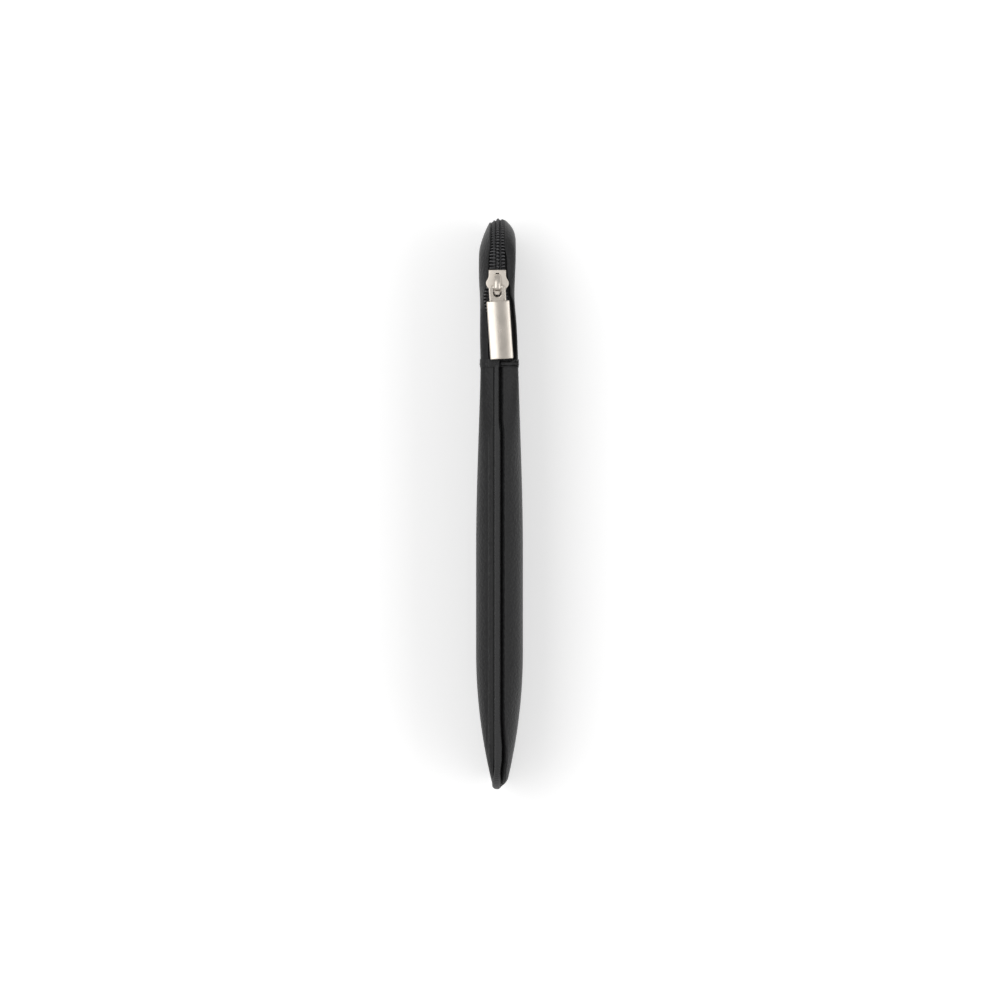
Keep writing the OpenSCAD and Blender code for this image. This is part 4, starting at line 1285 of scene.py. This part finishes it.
def neck_mesh(low):
    """The pull's neck with its D-shaped eye: round below, and above as wide as the bar is long."""
    a = np.linspace(0, 2 * np.pi, 240, endpoint=False)
    way = np.stack([np.cos(a), np.sin(a)], axis=-1)
    wide, tall = np.maximum(np.abs(way), 1e-6).T
    below = np.minimum(NECK_R / wide, (NECK_LAP - TAB_TOP) / tall)
    above = ((wide / NECK_R) ** NECK_POWER + (tall / NECK_TOP) ** NECK_POWER) ** (-1 / NECK_POWER)
    upper_bore = np.minimum(np.maximum(EYE_R, EYE_W / wide), EYE_TOP / tall)
    lower = way[:, 1] < 0
    rim, bore = np.where(lower, below, above), np.where(lower, EYE_R, upper_bore)
    eye = [SEAM_X, EYE_Y]
    return slab_mesh("neck", way * rim[:, None] + eye, way * bore[:, None] + eye, low, low + NECK_T,
                     NECK_EDGE, flat, hole=True)


def bar_mesh():
    """The pull's round bar, which turns under the cap: a cylinder across the neck, chamfered at its ends."""
    half = math.sqrt(NECK_R ** 2 - BAR_OFF ** 2)
    turn = np.linspace(0, 2 * np.pi, 32, endpoint=False)
    y, z = EYE_Y + BAR_OFF, HINGE[2]
    ends = [(-half, BAR_END_R), (BAR_CHAMFER - half, BAR_R), (half - BAR_CHAMFER, BAR_R), (half, BAR_END_R)]
    rings = [np.column_stack([np.full(32, SEAM_X + x), y + r * np.cos(turn), z + r * np.sin(turn)])
             for x, r in ends]
    return surface("bar", np.array(rings), wrap_u=True, cap_ends=True)


def tab_mesh(c, low):
    """The pull's tab: a bare plate with rounded edges, crowned across by a parabola."""
    w, end = c.tab_width / 2, TAB_TOP - c.tab_length
    line = resampled(rounded([(-w, end), (w, end), (w, TAB_TOP), (-w, TAB_TOP)], TAB_CORNER), 420)
    eye = [SEAM_X, EYE_Y]
    return slab_mesh("tab", line + eye, middle_line(line, end + w, TAB_TOP - w) + eye, low, low + TAB_T,
                     TAB_EDGE, lambda x, y: TAB_CROWN * (1 - ((x - SEAM_X) / w) ** 2))


def pull_mesh(c):
    """The pull: neck, bar and tab, turned a little aside about the middle of its eye."""
    low = HINGE[2] - NECK_T / 2
    mesh = joined("pull", [neck_mesh(low), bar_mesh(), tab_mesh(c, low)])
    return turned(mesh, PULL_TURN, (SEAM_X, EYE_Y))


# ---------------------------------------------------------------- operators

class PENCASE_OT_leather(bpy.types.Operator):
    """Makes the two leather panels with their folded and flanged edges"""
    bl_idname = "pencase.leather"
    bl_label = "Leather panels"

    def execute(self, context):
        c, tones = sizes(), colours()
        leather = leather_material("drum_dyed_leather", tones.leather, tones.leather_crease_shade)
        for side, node in ((FRONT, "front_panel"), (BACK, "back_panel")):
            piece = new_object(node + "_leather", panel_mesh(c, side), "case")
            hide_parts(node)
            dress(piece, leather)
        return {"FINISHED"}


class PENCASE_OT_binding(bpy.types.Operator):
    """Makes the ribbed binding round the bound edge"""
    bl_idname = "pencase.binding"
    bl_label = "Edge binding"

    def execute(self, context):
        c, tones = sizes(), colours()
        tape = woven_material("grosgrain_binding", tones.binding, 0.28 * MM, 0.62, 0.04 * MM)
        piece = new_object("ribbed_binding", binding_mesh(c), "case")
        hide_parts("edge_binding")
        dress(piece, tape)
        return {"FINISHED"}


class PENCASE_OT_hem(bpy.types.Operator):
    """Makes the hem band round the body and its row of stitches"""
    bl_idname = "pencase.hem"
    bl_label = "Hem band"

    def execute(self, context):
        c, tones = sizes(), colours()
        leather = leather_material("leather_hem", tones.leather, tones.leather_crease_shade)
        piece = new_object("hem_band_leather", band_mesh(c), "case")
        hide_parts("hem_band")
        dress(piece, leather)
        sewn = new_object("hem_stitches", hem_stitches_mesh(c), "case")
        dress(sewn, fibre_material("bonded_thread", tones.thread, 0.2 * MM, 0.5))
        return {"FINISHED"}


class PENCASE_OT_linings(bpy.types.Operator):
    """Gives the linings, the boards and the coils' cords their cloth and fibre"""
    bl_idname = "pencase.linings"
    bl_label = "Linings and boards"

    def execute(self, context):
        tones = colours()
        cloth = fibre_material("brushed_lining_cloth", tones.lining, 0.25 * MM, 0.8)
        board = fibre_material("bonded_fibre_board", tones.board, 0.4 * MM, 0.85)
        cord = fibre_material("twisted_cord", tones.thread, 0.15 * MM, 0.7)
        for side in ("front_", "back_"):
            dress(frame["nodes"][side + "lining"], cloth)
            dress(frame["nodes"][side + "interlining"], board)
            dress(frame["nodes"][side + "coil_cord"], cord)
        return {"FINISHED"}


class PENCASE_OT_zip(bpy.types.Operator):
    """Makes the two woven tapes and the two wound coils"""
    bl_idname = "pencase.zip"
    bl_label = "Zip chain"

    def execute(self, context):
        c, tones = sizes(), colours()
        weave = woven_material("woven_zip_tape", tones.tape, 0.35 * MM, 0.75, 0.05 * MM)
        filament = filament_material("drawn_polyester_filament", tones.coil)
        thread = fibre_material("zip_sewing_thread", tones.tape, 0.15 * MM, 0.7)
        for side, name in ((FRONT, "front_"), (BACK, "back_")):
            tape = new_object(name + "woven_tape", tape_mesh(c, side), "case")
            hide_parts(name + "tape")
            dress(tape, weave)
            coil = new_object(name + "wound_coil", coil_mesh(c, side), "case")
            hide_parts(name + "coil")
            dress(coil, filament)
            sewn = new_object(name + "coil_stitching", coil_thread_mesh(c, side), "case")
            dress(sewn, thread)
        return {"FINISHED"}


class PENCASE_OT_slider(bpy.types.Operator):
    """Makes the slider's body and cap, and finishes its spring and the zip's stops"""
    bl_idname = "pencase.slider"
    bl_label = "Slider"

    def execute(self, context):
        tones = colours()
        nickel = metal_material("satin_nickel_slider", tones.nickel, 0.36, 0.46)
        body = new_object("cast_slider_body", slider_mesh(), "slider")
        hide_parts("slider_body")
        dress(body, nickel)
        cap = new_object("cast_slider_cap", cap_mesh(), "slider")
        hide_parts("slider_cap")
        dress(cap, metal_material("rubbed_nickel_cap", tones.nickel, 0.28, 0.34))
        steel = metal_material("spring_steel", tones.steel, 0.2, 0.3)
        dress(frame["nodes"]["lock_spring"], steel)
        painted = painted_material("black_painted_staple", tones.thread)
        for node in ("near_stop", "far_stop"):
            dress(frame["nodes"][node], painted)
        return {"FINISHED"}


class PENCASE_OT_pull(bpy.types.Operator):
    """Makes the pull with its eye and crowned tab"""
    bl_idname = "pencase.pull"
    bl_label = "Pull tab"

    def execute(self, context):
        c, tones = sizes(), colours()
        pull = new_object("cast_pull", pull_mesh(c), "pull")
        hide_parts("pull_tab")
        dress(pull, metal_material("satin_nickel_pull", tones.nickel, 0.2, 0.28))
        return {"FINISHED"}


class PENCASE_OT_stage(bpy.types.Operator):
    """Makes the floor, the lamps, the world and the camera straight above"""
    bl_idname = "pencase.stage"
    bl_label = "Stage"

    def execute(self, context):
        scene = context.scene
        scene.view_settings.view_transform = "Standard"
        mesh = bpy.data.meshes.new("floor")
        corners = [(FLOOR_HALF * x, FLOOR_HALF * y, 0) for x, y in ((-1, -1), (1, -1), (1, 1), (-1, 1))]
        mesh.from_pydata(corners, [], [(0, 1, 2, 3)])
        floor = bpy.data.objects.new("floor", mesh)
        scene.collection.objects.link(floor)
        dress(floor, floor_material())
        world = bpy.data.worlds.new("studio")
        scene.world = world
        world.use_nodes = True
        world.node_tree.nodes.clear()
        tree = world.node_tree
        dim = add(tree, "ShaderNodeBackground", {"Color": (1, 1, 1, 1), "Strength": WORLD})
        white = add(tree, "ShaderNodeBackground", {"Color": (1, 1, 1, 1), "Strength": 1.0})
        path = add(tree, "ShaderNodeLightPath")
        both = add(tree, "ShaderNodeMixShader", {0: path.outputs["Is Camera Ray"], 1: dim.outputs[0],
                                                 2: white.outputs[0]})
        add(tree, "ShaderNodeOutputWorld", {"Surface": both.outputs[0]})
        for name, low, high, height, radiance in LAMPS:
            lamp = bpy.data.lights.new(name, "AREA")
            lamp.shape = "RECTANGLE"
            lamp.size, lamp.size_y = high[0] - low[0], high[1] - low[1]
            lamp.energy = radiance * math.pi * lamp.size * lamp.size_y
            box = bpy.data.objects.new(name, lamp)
            scene.collection.objects.link(box)
            box.location = ((low[0] + high[0]) / 2, (low[1] + high[1]) / 2, height)
            box.visible_camera = False
        camera = bpy.data.cameras.new("camera")
        camera.lens = camera.sensor_width * (CAMERA_Z - CASE_W) / VIEW_W
        camera.clip_end = 20.0
        seat = bpy.data.objects.new("camera", camera)
        scene.collection.objects.link(seat)
        seat.location = (*VIEW_CENTRE, CAMERA_Z)
        scene.camera = seat
        return {"FINISHED"}


def floor_material():
    """White acrylic sheet with a matt face: it carries the soft shadow and fades to the white behind."""
    material, tree = new_material("white_floor")
    shader = add(tree, "ShaderNodeBsdfDiffuse", {"Color": rgba("#fafafa")})
    glow = add(tree, "ShaderNodeEmission", {"Color": (1, 1, 1, 1), "Strength": FLOOR_GLOW})
    both = add(tree, "ShaderNodeAddShader", {0: shader.outputs[0], 1: glow.outputs[0]})
    path = add(tree, "ShaderNodeLightPath")
    direct = add(tree, "ShaderNodeMath", {0: path.outputs["Is Camera Ray"], 1: path.outputs["Is Glossy Ray"]},
                 operation="MAXIMUM")
    seen = add(tree, "ShaderNodeMixShader", {0: direct.outputs[0], 1: shader.outputs[0], 2: both.outputs[0]})
    add(tree, "ShaderNodeOutputMaterial", {"Surface": seen.outputs[0]})
    return material


class PENCASE_PT_panel(bpy.types.Panel):
    """Lists the pieces and the sizes and colours that they are made from"""
    bl_idname = "PENCASE_PT_panel"
    bl_label = "Pen Case"
    bl_space_type = "VIEW_3D"
    bl_region_type = "UI"
    bl_category = "Pen Case"

    def draw(self, context):
        for operator in OPERATORS:
            self.layout.operator(operator.bl_idname)
        for group in (context.scene.pen_case_sizes, context.scene.pen_case_colours):
            column = self.layout.column(align=True)
            for name in group.__annotations__:
                column.prop(group, name)


OPERATORS = (PENCASE_OT_leather, PENCASE_OT_binding, PENCASE_OT_hem, PENCASE_OT_linings, PENCASE_OT_zip,
             PENCASE_OT_slider, PENCASE_OT_pull, PENCASE_OT_stage)
CLASSES = (PenCaseSizes, PenCaseColours, *OPERATORS, PENCASE_PT_panel)


def register():
    for entry in CLASSES:
        bpy.utils.register_class(entry)
    bpy.types.Scene.pen_case_sizes = PointerProperty(type=PenCaseSizes)
    bpy.types.Scene.pen_case_colours = PointerProperty(type=PenCaseColours)


def unregister():
    del bpy.types.Scene.pen_case_colours
    del bpy.types.Scene.pen_case_sizes
    for entry in reversed(CLASSES):
        bpy.utils.unregister_class(entry)


def main():
    """Registers the add-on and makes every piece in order."""
    register()
    for operator in OPERATORS:
        group, name = operator.bl_idname.split(".")
        getattr(getattr(bpy.ops, group), name)()


if __name__ == "__main__":
    main()
